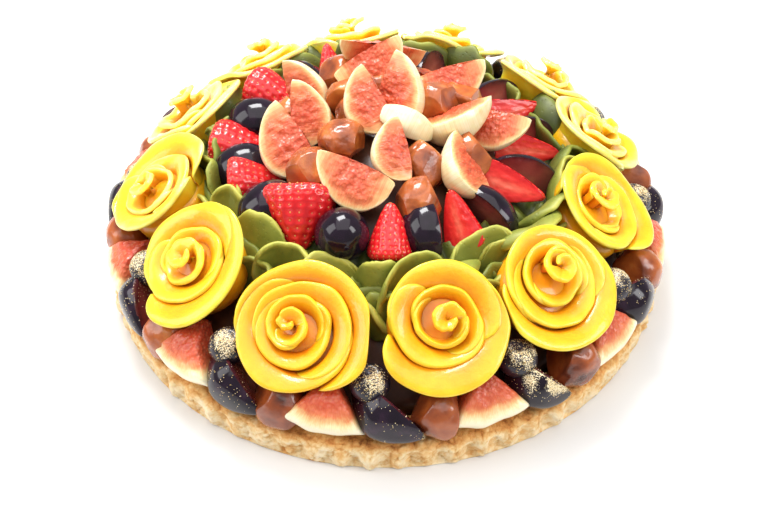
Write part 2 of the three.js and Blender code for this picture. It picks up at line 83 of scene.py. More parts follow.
RIM_GROUPS = 12
RIM_RADIUS = 112
RIM_FIRST_BEARING = -11.5
RIM_HEIGHT = 23
RIM_REACH = 123
RIM_FIG_REACH = 27
RIM_FIG_FAN = 78
RIM_FIG_FLATNESS = 0.5
RIM_FIG_THICKNESS = 13
DUSTED_GRAPES = (1, 7)
HEAVY_POWDER = 0.72
LIGHT_POWDER = 0.34
BLUEBERRY_POWDER = 0.62
MANY_GRAINS = 420
FEW_GRAINS = 170
RIM_SIZES = {"fig": 1.0, "grape": 1.18, "chestnut": 1.16, "blueberry": 1.12}

# Each rose: its nudge round the ring, lift and the radius of its rim, how far it is shifted
# to the left and down its own slope, the bearing of its last petal's end on its own face,
# how far its bud sits off the middle and stands up, the coil (the bud's hole, its widening
# in each turn and how that grows, the turns), the width of the moat round the bud, how
# wavy its petals are, how far its rim droops and its tone, painted light and shade that
# makes the front roses deeper orange and the backlit roses at the back paler.
ROSES = [
    dict(nudge=0.5, lift=0, radius=25.7, shift=(-1.6, 2.2), end=124, bud=(4.4, -2.2), stand=0,
         coil=(1.5, 4.3, 0.42, 4.2), moat=1.0, ruffle=1.0, droop=0, tone=0.16),
    dict(nudge=1, lift=0, radius=24.4, shift=(-1.4, 0.5), end=5, bud=(-1.8, 0.2), stand=0.8,
         coil=(3.2, 2.6, 1.25, 3.5), moat=2.6, ruffle=0.9, droop=0, tone=0.12),
    dict(nudge=0.5, lift=0, radius=24.8, shift=(1, 2.2), end=-30, bud=(-4.4, -3.6), stand=3.0,
         coil=(3.0, 3.3, 0.66, 4.0), moat=0.8, ruffle=1.1, droop=0, tone=0.03),
    dict(nudge=1, lift=0, radius=23.4, shift=(0, -1), end=60, bud=(-1.5, -2.0), stand=3.0,
         coil=(2.6, 3.2, 0.95, 3.7), moat=1.5, ruffle=1.3, droop=0, tone=-0.02),
    dict(nudge=0, lift=2, radius=23.2, shift=(0, 0), end=150, bud=(1.0, 1.0), stand=3.0,
         coil=(2.0, 3.6, 0.7, 3.9), moat=1.0, ruffle=2.4, droop=1.5, tone=-0.2),
    dict(nudge=-4, lift=3, radius=25.6, shift=(0, 0), end=220, bud=(-2.0, 1.0), stand=3.8,
         coil=(3.0, 3.2, 0.9, 3.8), moat=1.6, ruffle=2.8, droop=4, tone=-0.22),
    dict(nudge=-1, lift=4, radius=25.6, shift=(0, 0), end=300, bud=(1.5, 2.0), stand=3.6,
         coil=(1.8, 4.0, 0.55, 4.1), moat=1.0, ruffle=3.0, droop=5, tone=-0.24),
    dict(nudge=0, lift=4, radius=25.6, shift=(0, 0), end=20, bud=(-1.0, -1.5), stand=3.8,
         coil=(2.8, 3.0, 1.0, 3.7), moat=1.6, ruffle=3.0, droop=5, tone=-0.24),
    dict(nudge=-1, lift=4, radius=25.6, shift=(0, 0), end=100, bud=(2.0, 0.5), stand=3.6,
         coil=(2.4, 3.4, 0.8, 3.9), moat=1.4, ruffle=2.8, droop=5, tone=-0.24),
    dict(nudge=-4, lift=2, radius=25.6, shift=(0, 0), end=200, bud=(2.0, -2.0), stand=4.0,
         coil=(3.0, 3.0, 0.95, 3.75), moat=1.6, ruffle=2.8, droop=4, tone=-0.24),
    dict(nudge=-3, lift=0, radius=24.8, shift=(2, 1), end=250, bud=(1.0, 2.5), stand=2.5,
         coil=(3.2, 2.7, 1.2, 3.5), moat=2.0, ruffle=1.4, droop=1, tone=-0.1),
    dict(nudge=-2, lift=0, radius=25.0, shift=(0, 1), end=80, bud=(1.0, 0.5), stand=1.6,
         coil=(3.4, 2.6, 1.2, 3.5), moat=1.2, ruffle=1.1, droop=0, tone=0.02),
]

# Petals of a rose: where each mango slice starts and ends, as shares of the whole coil
PETALS = [(0.0, 0.37), (0.28, 0.5), (0.43, 0.65), (0.57, 0.78), (0.71, 0.89), (0.83, 1.0)]

# Fruit of the ring. Its places were read in the photograph, turned to bearings and radii
# outside this script with the solved camera, and most were then moved. at is a bearing, a
# radius and how far the piece's middle is above the filling, tip is the direction of its
# long axis, and face is the direction that its cut side looks in.
# stretch is across, through and along the piece.
RING_FRUIT = [
    dict(kind="strawberry", at=(-36, 56, 9), tip=(-2, -40), face=(0, 50), size=1,
         stretch=(1.26, 1, 0.95)),
    dict(kind="grape", at=(-17, 57, 9), tip=(20, 55), face=(0, 0), size=1),
    dict(kind="strawberry", at=(2, 54, 8), tip=(180, 50), face=(0, 45), size=0.8,
         stretch=(0.95, 1, 1)),
    dict(kind="grape", at=(17, 55, 8), tip=(12, -35), face=(100, -10), size=0.95, half=True),
    dict(kind="strawberry", at=(31, 55, 8), tip=(200, 35), face=(-35, 35), size=0.85, half=True,
         stretch=(0.85, 0.7, 1.1)),
    dict(kind="grape", at=(45, 57, 8), tip=(52, -22), face=(-50, -5), size=1, half=True,
         stretch=(0.85, 0.8, 1.1)),
    dict(kind="strawberry", at=(62, 57, 9), tip=(77, -12), face=(-15, 38), size=0.92, half=True,
         stretch=(0.78, 0.7, 1.1)),
    dict(kind="grape", at=(73, 59, 8), tip=(84, -14), face=(-4, 14), size=1, half=True,
         stretch=(0.86, 0.6, 1.15)),
    dict(kind="strawberry", at=(90, 60, 8), tip=(96, -10), face=(2, 30), size=0.95, half=True,
         stretch=(0.72, 0.6, 1.15)),
    dict(kind="grape", at=(100, 60, 8), tip=(104, -6), face=(8, 16), size=1, half=True,
         stretch=(0.82, 0.6, 1.1)),
    dict(kind="strawberry", at=(116, 60, 8), tip=(112, 2), face=(12, 34), size=0.95, half=True,
         stretch=(0.74, 0.6, 1.15)),
    dict(kind="grape", at=(127, 60, 8), tip=(120, 0), face=(18, 22), size=1, half=True,
         stretch=(0.85, 0.7, 1.1)),
    dict(kind="strawberry", at=(143, 60, 8), tip=(135, -4), face=(35, 40), size=0.9, half=True,
         stretch=(0.85, 0.7, 1.1)),
    dict(kind="grape", at=(160, 59, 9), tip=(152, -8), face=(50, 20), size=1, half=True,
         stretch=(0.9, 0.8, 1.05)),
    dict(kind="strawberry", at=(176, 60, 8), tip=(176, -20), face=(176, 70), size=0.9),
    dict(kind="grape", at=(190, 60, 10), tip=(190, -10), face=(190, 80), size=1),
    dict(kind="strawberry", at=(204, 60, 9), tip=(200, 55), face=(20, 30), size=0.9,
         stretch=(0.8, 0.8, 1.1)),
    dict(kind="grape", at=(219, 60, 9), tip=(215, -5), face=(-45, 25), size=1, half=True),
    dict(kind="strawberry", at=(234, 60, 9), tip=(60, -5), face=(234, 60), size=1),
    dict(kind="grape", at=(252, 59, 9), tip=(262, -8), face=(262, 80), size=1),
    dict(kind="strawberry", at=(266, 61, 6), tip=(82, -2), face=(262, 70), size=1,
         stretch=(1.1, 1, 1)),
    dict(kind="grape", at=(280, 60, 7), tip=(281, -14), face=(281, 70), size=1),
    dict(kind="strawberry", at=(292, 57, 7), tip=(98, -4), face=(0, 70), size=0.85,
         stretch=(1.1, 1, 1)),
    dict(kind="grape", at=(309, 59, 8), tip=(295, -15), face=(295, 70), size=1.05),
]

# The figs and chestnuts of the centre have their places from the photograph in the same
# way. A fig wedge's face is its nearer cut side, and skin says on which side of that face
# the fig's skin lies when its tip is up.
CENTRE_FIGS = [
    dict(at=(-73, 45, 10), tip=(-140, 35), face=(5, 50), skin="left", size=1),
    dict(at=(-122, 37, 12), tip=(-150, 58), face=(-20, 30), skin="right", size=0.85),
    dict(at=(-85, 29, 12), tip=(-172, 50), face=(0, 40), skin="right", size=0.82),
    dict(at=(-69, 11, 12), tip=(-145, 40), face=(10, 40), skin="left", size=0.85),
    dict(at=(-172, 24, 11), tip=(110, 25), face=(0, 40), skin="right", size=0.95),
    dict(at=(100, 9, 12), tip=(150, 55), face=(-35, 40), skin="right", size=1),
    dict(at=(122, 34, 10), tip=(100, 15), face=(0, 45), skin="right", size=0.95),
    dict(at=(73, 30, 12), tip=(95, 20), face=(-120, 50), skin="right", size=0.95),
    dict(at=(85, 45, 10), tip=(70, 5), face=(-25, 50), skin="right", size=0.85),
    dict(at=(43, 41, 11), tip=(-145, 35), face=(75, 45), skin="left", size=0.85),
    dict(at=(0, 28, 12), tip=(-165, 40), face=(20, 40), skin="left", size=0.75),
    dict(at=(-20, 42, 10), tip=(-110, 15), face=(0, 45), skin="left", size=0.95),
    dict(at=(30, 14, 11), tip=(-112, 15), face=(153, 16), skin="left", size=0.78),
]

# A chestnut that joins the one before it is made one piece with it
CENTRE_CHESTNUTS = [
    dict(at=(-103, 41, 5), tip=(-96, 20), face=(-20, 60), size=1.05),
    dict(at=(-43, 25, 8), tip=(-45, 60), face=(0, 10), size=1),
    dict(at=(-47, 40, 8), tip=(0, 75), face=(20, 0), size=1, joins=True),
    dict(at=(102, 22, 9), tip=(90, 10), face=(0, 50), size=1),
    dict(at=(112, 34, 9), tip=(100, 10), face=(10, 40), size=1.05, joins=True),
    dict(at=(31, 30, 4), tip=(60, 20), face=(-30, 40), size=1),
    dict(at=(63, 38, 5), tip=(60, 10), face=(-20, 50), size=1.1),
    dict(at=(17, 44, 6), tip=(60, -10), face=(-20, 50), size=1.08),
]

# Fig wedges and chestnuts lying low on the far side of the dome
BACK_FRUIT = [
    dict(kind="chestnut", at=(-150, 40, 10), tip=(-140, 30), face=(0, 30), size=1),
    dict(kind="fig", at=(-174, 41, 16), tip=(-78, 16), face=(-150, 60), skin="right", size=1.15),
    dict(kind="chestnut", at=(171, 40, 5), tip=(90, 10), face=(170, 60), size=0.95),
    dict(kind="fig", at=(150, 42, 6), tip=(50, 5), face=(150, 60), skin="left", size=0.8),
    dict(kind="chestnut", at=(-166, 22, 5), tip=(-60, 20), face=(180, 50), size=0.9),
    dict(kind="fig", at=(165, 22, 6), tip=(70, 10), face=(165, 60), skin="left", size=0.75),
    dict(kind="chestnut", at=(-128, 22, 5), tip=(-100, 20), face=(180, 50), size=0.9),
    dict(kind="chestnut", at=(134, 46, 5), tip=(90, 10), face=(170, 60), size=0.9),
    dict(kind="fig", at=(-138, 47, 4), tip=(-60, 5), face=(-138, 50), skin="left", size=0.75),
    dict(kind="chestnut", at=(-178, 30, 4), tip=(60, 20), face=(180, 50), size=0.9),
    dict(kind="chestnut", at=(-110, 13, 2), tip=(30, 20), face=(0, 50), size=0.95),
    dict(kind="chestnut", at=(-98, 28, 1), tip=(80, 10), face=(0, 50), size=0.9),
    dict(kind="fig", at=(170, 12, 3), tip=(80, 5), face=(180, 60), skin="left", size=0.7),
]

# Lobes of green cream that show at the front and the sides: bearing and radius of the
# foot, the bearing that the lobe faces, its width and height, how far it leans out (back
# on the berries below 0) and how far its top rolls over in degrees, how far round it is
# cupped (edges back below 0), how far its right side stands above its left, as a share,
# and how deep the waves of its edge are. A lobe that is shaded is that much darker.
CREAM_LOBES = [
    dict(at=(-80, 74), face=-70, wide=30, tall=26, lean=-20, roll=60, cup=0.6, slant=0.1, frill=0.8),
    dict(at=(-68, 74), face=-74, wide=29, tall=27, lean=-22, roll=15, cup=-0.5, slant=0.1, frill=0.4),
    dict(at=(-57, 74), face=-40, wide=29, tall=27, lean=-26, roll=30, cup=0.8, slant=-0.2, frill=0.5),
    dict(at=(-43, 77), face=-32, wide=29, tall=31, lean=-20, roll=6, cup=-0.35, slant=0, frill=0.1),
    dict(at=(-29, 74), face=-22, wide=34, tall=26, lean=-18, roll=40, cup=0.9, slant=-0.06, frill=0.4),
    dict(at=(-14, 75), face=16, wide=34, tall=24, lean=-26, roll=10, cup=0.7, slant=-0.3, frill=0.2),
    dict(at=(-3, 78), face=-8, wide=23, tall=27, lean=-24, roll=16, cup=-1.2, slant=0.05, frill=0.2),
    dict(at=(8, 76), face=14, wide=34, tall=28, lean=-24, roll=30, cup=0.8, slant=0.2, frill=0.2),
    dict(at=(18, 73), face=12, wide=33, tall=28, lean=-18, roll=120, cup=-0.7, slant=0, frill=0.4),
    dict(at=(31, 75), face=20, wide=39, tall=27, lean=-28, roll=14, cup=0.6, slant=0.1, frill=0.8),
    dict(at=(40, 78), face=34, wide=32, tall=24, lean=-26, roll=30, cup=-0.6, slant=0, frill=0.6),
    dict(at=(50, 73), face=34, wide=39, tall=28, lean=-14, roll=110, cup=-0.5, slant=0, frill=0.8),
    dict(at=(63, 74), face=46, wide=35, tall=28, lean=-14, roll=90, cup=-0.8, slant=0.1, frill=1.0),
    dict(at=(76, 75), face=62, wide=33, tall=27, lean=-22, roll=60, cup=0.7, slant=0.1, frill=0.9),
]
FIRST_SEEDED_LOBE = 86
LAST_SEEDED_LOBE = 278
LOBE_FOOT_THICKNESS = 4.0


def mix(a, b, share):
    return a + (b - a) * share


def smooth(share):
    share = min(1.0, max(0.0, share))
    return share * share * (3.0 - 2.0 * share)


# 1 up to a share of the way, then down to 0 at the end along a quarter circle
def rounded(share, start):
    return math.sqrt(max(0.0, 1 - max(0.0, (share - start) / (1 - start)) ** 2))


# 1 in the middle of a strip and 0 at its ends, falling later the higher the power
def ended(u, power):
    return math.sqrt(max(0.0, 1 - abs(2 * u - 1) ** power))


# The same draw from 0 to 1 for the same seed
def draw(seed):
    wave = math.sin(seed * 127.1 + 11.7) * 43758.5453
    return wave - math.floor(wave)


# A point at a share of the way along a smooth line through the points
def along(points, share):
    last = len(points) - 1
    k = min(int(max(share, 0.0) * last), last - 1)
    s = share * last - k
    before, a, b, after = points[max(k - 1, 0)], points[k], points[k + 1], points[min(k + 2, last)]
    return [
        0.5 * (2 * q + (r - p) * s + (2 * p - 5 * q + 4 * r - t) * s ** 2
               + (3 * q - p - 3 * r + t) * s ** 3)
        for p, q, r, t in zip(before, a, b, after)
    ]


# Noise from about -1 to 1 with features of the given size in millimetres
def roughly(point, size, seed=0.0, octaves=1):
    place = point / size + Vector((seed * 7.3, seed * 3.1, seed * 5.7))
    if octaves == 1:
        return noise.noise(place)
    return noise.fractal(place, 0.9, 2.0, octaves)


def on_ring(bearing, radius, height):
    angle = math.radians(bearing)
    return Vector((radius * math.sin(angle), -radius * math.cos(angle), height))


# A point on a level circle, its angle in radians from +X
def at_turn(turn, radius, height):
    return Vector((radius * math.cos(turn), radius * math.sin(turn), height))


def direction(way):
    rise = math.radians(way[1])
    return on_ring(way[0], math.cos(rise), math.sin(rise))


def filling_height(radius):
    for (r0, z0), (r1, z1) in zip(FILLING_TOP, FILLING_TOP[1:]):
        if radius <= r1:
            return mix(z0, z1, (radius - r0) / (r1 - r0))
    return FILLING_TOP[-1][1]


# The matrix that sets a piece at its place, its long axis to tip and its cut side to face
def setting(place, tip, face, size=1.0):
    axis = direction(tip)
    front = direction(face)
    front = (front - axis * front.dot(axis)).normalized()
    side = front.cross(axis)
    turn = Matrix((side, front, axis)).transposed().to_4x4()
    return Matrix.Translation(place) @ turn @ Matrix.Scale(size, 4)


def set_on_filling(piece):
    bearing, radius, rise = piece["at"]
    place = on_ring(bearing, radius, filling_height(radius) + rise)
    stretch = Matrix.Diagonal((*piece.get("stretch", (1, 1, 1)), 1))
    return setting(place, piece["tip"], piece["face"], piece["size"]) @ stretch


# A new bmesh with the vertex values that the materials read
def new_shape():
    bm = bmesh.new()
    bm.verts.layers.float.new("depth")
    bm.verts.layers.float.new("grain")
    return bm


def close_seams(bm):
    bmesh.ops.remove_doubles(bm, verts=bm.verts, dist=SEAM)
    bmesh.ops.dissolve_degenerate(bm, edges=bm.edges, dist=SEAM)
    bmesh.ops.recalc_face_normals(bm, faces=bm.faces)
    return bm


# A grid of squares whose points a rule moves, with its seam and poles merged.
# The rule turns two shares into a point, a depth and a grain value.
def wrapped(around, up, rule):
    bm = new_shape()
    depth, grain = (bm.verts.layers.float[name] for name in ("depth", "grain"))
    bmesh.ops.create_grid(bm, x_segments=around, y_segments=up, size=0.5)
    for vert in bm.verts:
        vert.co, vert[depth], vert[grain] = rule(vert.co.x + 0.5, vert.co.y + 0.5)
    return close_seams(bm)


# A thin closed sheet about a curved surface, its thickness given by a rule
def sheet_of(across, up, surface, thickness, depth_rule):
    step = 0.004

    def rule(u, a):
        s = math.sin(a * math.pi)
        side = 1 if a < 0.5 else -1
        place = surface(u, s)
        u_step = step if u < 0.5 else -step
        s_step = step if s < 0.5 else -step
        toward_u = (surface(u + u_step, s) - place) / u_step
        toward_s = (surface(u, s + s_step) - place) / s_step
        normal = toward_u.cross(toward_s)
        normal = normal.normalized() if normal.length > 1e-9 else Vector((0, 0, 1))
        return (place + normal * (side * thickness(u, s) / 2), *depth_rule(u, s, side))

    return wrapped(across, 2 * up, rule)


# The shape itself, moved by a matrix
def moved(shape, matrix):
    bmesh.ops.transform(shape, matrix=matrix, verts=shape.verts)
    return shape


# Adds one shape to another
def add_part(whole, part):
    carrier = bpy.data.meshes.new("carrier")
    part.to_mesh(carrier)
    part.free()
    whole.from_mesh(carrier)
    bpy.data.meshes.remove(carrier)


# A point of a round section whose side past a level along +Y is cut off flat
def cut_round(u, radius, level):
    height = min(level, radius)
    half_width = math.sqrt(max(0.0, radius * radius - height * height))
    if u < FLAT_SHARE:
        return mix(half_width, -half_width, u / FLAT_SHARE), height
    corner = math.atan2(height, half_width)
    turn = mix(math.pi - corner, 2 * math.pi + corner, (u - FLAT_SHARE) / (1 - FLAT_SHARE))
    return radius * math.cos(turn), radius * math.sin(turn)


# Gives the flat cut its own material and a crisp edge
def mark_cut(bm, level):
    bm.normal_update()
    for face in bm.faces:
        if face.normal.y > 0.6 and face.calc_center_median().y > level - 1.2:
            face.material_index = 1
    for edge in bm.edges:
        if len({face.material_index for face in edge.link_faces}) > 1:
            edge.smooth = False
    return bm


# The finished object: in metres, riding on the model's one body
def finish_piece(name, bm, materials, slot, *nodes):
    bmesh.ops.scale(bm, vec=(MM, MM, MM), verts=bm.verts)
    mesh = bpy.data.meshes.new(name)
    bm.to_mesh(mesh)
    bm.free()
    mesh.polygons.foreach_set("use_smooth", [True] * len(mesh.polygons))
    for material in materials:
        mesh.materials.append(material)
    piece = bpy.data.objects.new(name, mesh)
    bpy.context.scene.collection.objects.link(piece)
    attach(piece, "root")
    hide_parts(*nodes)
    return piece


# Materials

def linear(hex_code):
    channels = [int(hex_code[i:i + 2], 16) / 255 for i in (1, 3, 5)]
    return tuple(
        c / 12.92 if c <= 0.04045 else ((c + 0.055) / 1.055) ** 2.4 for c in channels) + (1.0,)


# Adds a node with its settings, its inputs' values or links, and a ramp's stops
def add(tree, kind, inputs=None, stops=None, **settings):
    node = tree.nodes.new(kind)
    for name, value in settings.items():
        setattr(node, name, value)
    for name, value in (inputs or {}).items():
        if isinstance(value, bpy.types.NodeSocket):
            tree.links.new(value, node.inputs[name])
        else:
            node.inputs[name].default_value = value
    if stops:
        ramp = node.color_ramp
        while len(ramp.elements) < len(stops):
            ramp.elements.new(0.5)
        for element, (place, colour) in zip(ramp.elements, stops):
            element.position = place
            element.color = linear(colour) if isinstance(colour, str) else (colour,) * 3 + (1.0,)
    return node


# A new material: its tree, its shader and the place on the object in metres
def new_material(name, roughness, ior, **values):
    material = bpy.data.materials.new(name)
    material.use_nodes = True
    tree = material.node_tree
    shader = tree.nodes["Principled BSDF"]
    shader.inputs["Roughness"].default_value = roughness
    shader.inputs["IOR"].default_value = ior
    for key, value in values.items():
        shader.inputs[key.replace("_", " ")].default_value = value
    place = add(tree, "ShaderNodeTexCoord").outputs["Object"]
    return material, tree, shader, place


# The scale of a pattern whose features have a real size in millimetres
def per_mm(size):
    return 1.0 / (size * MM)


def bump(tree, shader, height, depth_mm, strength=1.0):
    node = add(tree, "ShaderNodeBump", {
        "Height": height, "Distance": depth_mm * MM, "Strength": strength})
    tree.links.new(node.outputs["Normal"], shader.inputs["Normal"])


# A value made uneven by noise of a real size: the noise itself and the sum
def mottled(tree, place, value, size, detail, spread, low):
    cloud = add(tree, "ShaderNodeTexNoise", {
        "Vector": place, "Scale": per_mm(size), "Detail": detail}).outputs["Fac"]
    shifted = add(tree, "ShaderNodeMath", {0: cloud, 1: spread, 2: low}, operation="MULTIPLY_ADD")
    total = add(tree, "ShaderNodeMath", {0: value, 1: shifted.outputs[0]}, operation="ADD")
    return cloud, total.outputs[0]


# The surface's colour, taken from a ramp over a value
def coloured(tree, shader, value, stops):
    colour = add(tree, "ShaderNodeValToRGB", {"Fac": value}, stops=stops).outputs["Color"]
    tree.links.new(colour, shader.inputs["Base Color"])
    return colour


# The surface's colour, taken from noise of a real size: the noise and the colour
def clouded(tree, shader, place, size, detail, stops):
    cloud = add(tree, "ShaderNodeTexNoise", {
        "Vector": place, "Scale": per_mm(size), "Detail": detail}).outputs["Fac"]
    return cloud, coloured(tree, shader, cloud, stops)


# Fine relief from noise of a real size
def grainy(tree, shader, place, size, detail, depth_mm, strength, distortion=0.0):
    fine = add(tree, "ShaderNodeTexNoise", {
        "Vector": place, "Scale": per_mm(size), "Detail": detail, "Distortion": distortion})
    bump(tree, shader, fine.outputs["Fac"], depth_mm, strength)


# Ripe mango, sliced thin and brushed with glaze: wet, a little see-through, pale at its
# knife-cut edges and deeper orange down between the slices, partly the fruit's own colour
# and partly painted shade in the grooves
def ripe_mango():
    material, tree, shader, place = new_material(
        "ripe_mango_slices", 0.32, 1.38, Subsurface_Weight=0.35, Subsurface_Scale=0.004,
        Subsurface_Radius=(1.0, 0.55, 0.12), Coat_Weight=0.42, Coat_Roughness=0.06)
    # depth paints the grooves deeper orange, partly as painted shade
    depth = add(tree, "ShaderNodeAttribute", attribute_name="depth").outputs["Fac"]
    # grain holds each rose's tone: painted light and shade, paler for the roses at the back
    tone = add(tree, "ShaderNodeAttribute", attribute_name="grain").outputs["Fac"]
    total = mottled(tree, place, depth, 9, 3.0, 0.44, -0.1)[1]
    total = add(tree, "ShaderNodeMath", {0: total, 1: tone}, operation="ADD")
    coloured(tree, shader, total.outputs[0], [
        (0.0, "#FBEF86"), (0.12, "#F5DC44"), (0.24, "#F0C62A"), (0.45, "#EAAC18"),
        (0.7, "#E29612"), (0.9, "#D47C0E"), (1.0, "#BE5E0C")])
    grainy(tree, shader, place, 1.9, 5.0, 0.4, 0.5, distortion=0.6)
    return material


# Sweet shortcrust, pressed in a fluted ring and baked: dry, crumbly and golden, browner
# on the lip than on the wall, with painted shade in the hollows and cracks of its shape
def sweet_shortcrust():
    material, tree, shader, place = new_material(
        "baked_sweet_shortcrust", 0.85, 1.45, Subsurface_Weight=0.06, Subsurface_Scale=0.002)
    toast_and_shade = add(tree, "ShaderNodeAttribute", attribute_name="depth").outputs["Fac"]
    cloud = add(tree, "ShaderNodeTexNoise", {"Vector": place, "Scale": per_mm(7), "Detail": 6.0,
                                             "Roughness": 0.65})
    crumb = add(tree, "ShaderNodeTexNoise", {"Vector": place, "Scale": per_mm(1.5), "Detail": 5.0,
                                             "Roughness": 0.7})
    strayed = add(tree, "ShaderNodeVectorMath", {
        0: crumb.outputs["Color"], 1: (0.002, 0.002, 0.002), 2: place}, operation="MULTIPLY_ADD")
    flake = add(tree, "ShaderNodeTexVoronoi", {"Vector": strayed.outputs[0], "Scale": per_mm(3.4)},
                feature="DISTANCE_TO_EDGE")
    crack = add(tree, "ShaderNodeMapRange", {
        "Value": flake.outputs["Distance"], "From Min": 0.0, "From Max": 0.09, "To Min": 1.0,
        "To Max": 0.0})
    shifted = add(tree, "ShaderNodeMath", {0: cloud.outputs["Fac"], 1: 0.8, 2: -0.4},
                  operation="MULTIPLY_ADD")
    fine = add(tree, "ShaderNodeMath", {0: crumb.outputs["Fac"], 1: 0.5, 2: -0.25},
               operation="MULTIPLY_ADD")
    lined = add(tree, "ShaderNodeMath", {0: crack.outputs[0], 1: 0.1, 2: fine.outputs[0]},
                operation="MULTIPLY_ADD")
    total = add(tree, "ShaderNodeMath", {0: toast_and_shade, 1: shifted.outputs[0]}, operation="ADD")
    total = add(tree, "ShaderNodeMath", {0: total.outputs[0], 1: lined.outputs[0]}, operation="ADD")
    coloured(tree, shader, total.outputs[0], [
        (0.0, "#F7E5C2"), (0.28, "#EFD09B"), (0.5, "#E2AF6B"), (0.75, "#CE8B47"),
        (1.0, "#9A5C28")])
    height = add(tree, "ShaderNodeMath", {0: crack.outputs[0], 1: -0.25, 2: crumb.outputs["Fac"]},
                 operation="MULTIPLY_ADD")
    bump(tree, shader, height.outputs[0], 0.8, 0.7)
    return material


# Peeled ripe fig: cream rind, then coral flesh full of small moist seeds and fibres that
# run in from the rind
def fig_flesh():
    material, tree, shader, place = new_material(
        "peeled_ripe_fig", 0.3, 1.38, Subsurface_Weight=0.15, Subsurface_Scale=0.002,
        Subsurface_Radius=(1.0, 0.4, 0.2), Coat_Weight=0.3, Coat_Roughness=0.12)
    rind = add(tree, "ShaderNodeAttribute", attribute_name="depth").outputs["Fac"]
    length = add(tree, "ShaderNodeAttribute", attribute_name="grain").outputs["Fac"]
    inward = add(tree, "ShaderNodeMath", {0: rind, 1: 0.25}, operation="MULTIPLY")
    across = add(tree, "ShaderNodeCombineXYZ", {"X": length, "Y": inward.outputs[0]})
    fibre = add(tree, "ShaderNodeTexNoise", {"Vector": across.outputs[0], "Scale": 26.0,
                                             "Detail": 3.0})
    shifted = add(tree, "ShaderNodeMath", {0: fibre.outputs["Fac"], 1: 0.24, 2: -0.12},
                  operation="MULTIPLY_ADD")
    fibred = add(tree, "ShaderNodeMath", {0: rind, 1: shifted.outputs[0]}, operation="ADD")
    total = mottled(tree, place, fibred.outputs[0], 6, 3.0, 0.3, -0.15)[1]
    flesh = coloured(tree, shader, total, [
        (0.0, "#F3E8C8"), (0.12, "#E9D8A8"), (0.24, "#E2B67C"), (0.36, "#D87C4E"),
        (0.5, "#CC5230"), (0.68, "#BA3A20"), (0.85, "#A42C18"), (1.0, "#8A2214")])
    grit = add(tree, "ShaderNodeTexVoronoi", {"Vector": place, "Scale": per_mm(1.5)})
    speck = add(tree, "ShaderNodeValToRGB", {"Fac": grit.outputs["Distance"]}, stops=[
        (0.0, 1.0), (0.5, 0.25), (1.0, 0.0)])
    inside = add(tree, "ShaderNodeMapRange", {"Value": total, "From Min": 0.35, "From Max": 0.55})
    share = add(tree, "ShaderNodeMath", {0: speck.outputs["Color"], 1: inside.outputs[0]},
                operation="MULTIPLY")
    share = add(tree, "ShaderNodeMath", {0: share.outputs[0], 1: 0.26}, operation="MULTIPLY")
    colour = add(tree, "ShaderNodeMix", {"Factor": share.outputs[0], "A": flesh,
                                         "B": linear("#F4B488")}, data_type="RGBA")
    tree.links.new(colour.outputs["Result"], shader.inputs["Base Color"])
    height = add(tree, "ShaderNodeMath", {0: grit.outputs["Distance"], 1: inside.outputs[0]},
                 operation="MULTIPLY")
    bump(tree, shader, height.outputs[0], 0.7, 0.7)
    return material


# Strawberry skin: glossy red between seed dimples, a little paler round each seed
def strawberry_skin():
    material, tree, shader, place = new_material(
        "ripe_strawberry_skin", 0.22, 1.37, Subsurface_Weight=0.12, Subsurface_Scale=0.002,
        Subsurface_Radius=(1.0, 0.25, 0.15), Coat_Weight=0.5, Coat_Roughness=0.06)
    seed = add(tree, "ShaderNodeAttribute", attribute_name="depth").outputs["Fac"]
    coloured(tree, shader, mottled(tree, place, seed, 8, 3.0, 0.5, -0.25)[1], [
        (0.0, "#F0655A"), (0.25, "#E23232"), (0.6, "#D91F22"), (1.0, "#C4141C")])
    grainy(tree, shader, place, 0.9, 2.0, 0.12, 0.4)
    return material


# Cut strawberry: wet red flesh, paler towards the heart
def strawberry_flesh():
    material, tree, shader, place = new_material(
        "cut_strawberry_flesh", 0.3, 1.37, Subsurface_Weight=0.15, Subsurface_Scale=0.002,
        Subsurface_Radius=(1.0, 0.3, 0.2), Coat_Weight=0.4, Coat_Roughness=0.1)
    heart = add(tree, "ShaderNodeAttribute", attribute_name="grain").outputs["Fac"]
    cloud, total = mottled(tree, place, heart, 3, 4.0, 0.5, -0.25)
    coloured(tree, shader, total, [
        (0.0, "#EE6A54"), (0.3, "#E23A30"), (0.7, "#D42222"), (1.0, "#BE161A")])
    bump(tree, shader, cloud, 0.5, 0.5)
    return material


# Strawberry seeds: dry straw-yellow pips
def strawberry_pips():
    material, tree, shader, place = new_material("strawberry_pips", 0.5, 1.45)
    clouded(tree, shader, place, 4, 2.0, [(0.35, "#E8A45A"), (0.65, "#C8683A")])
    return material


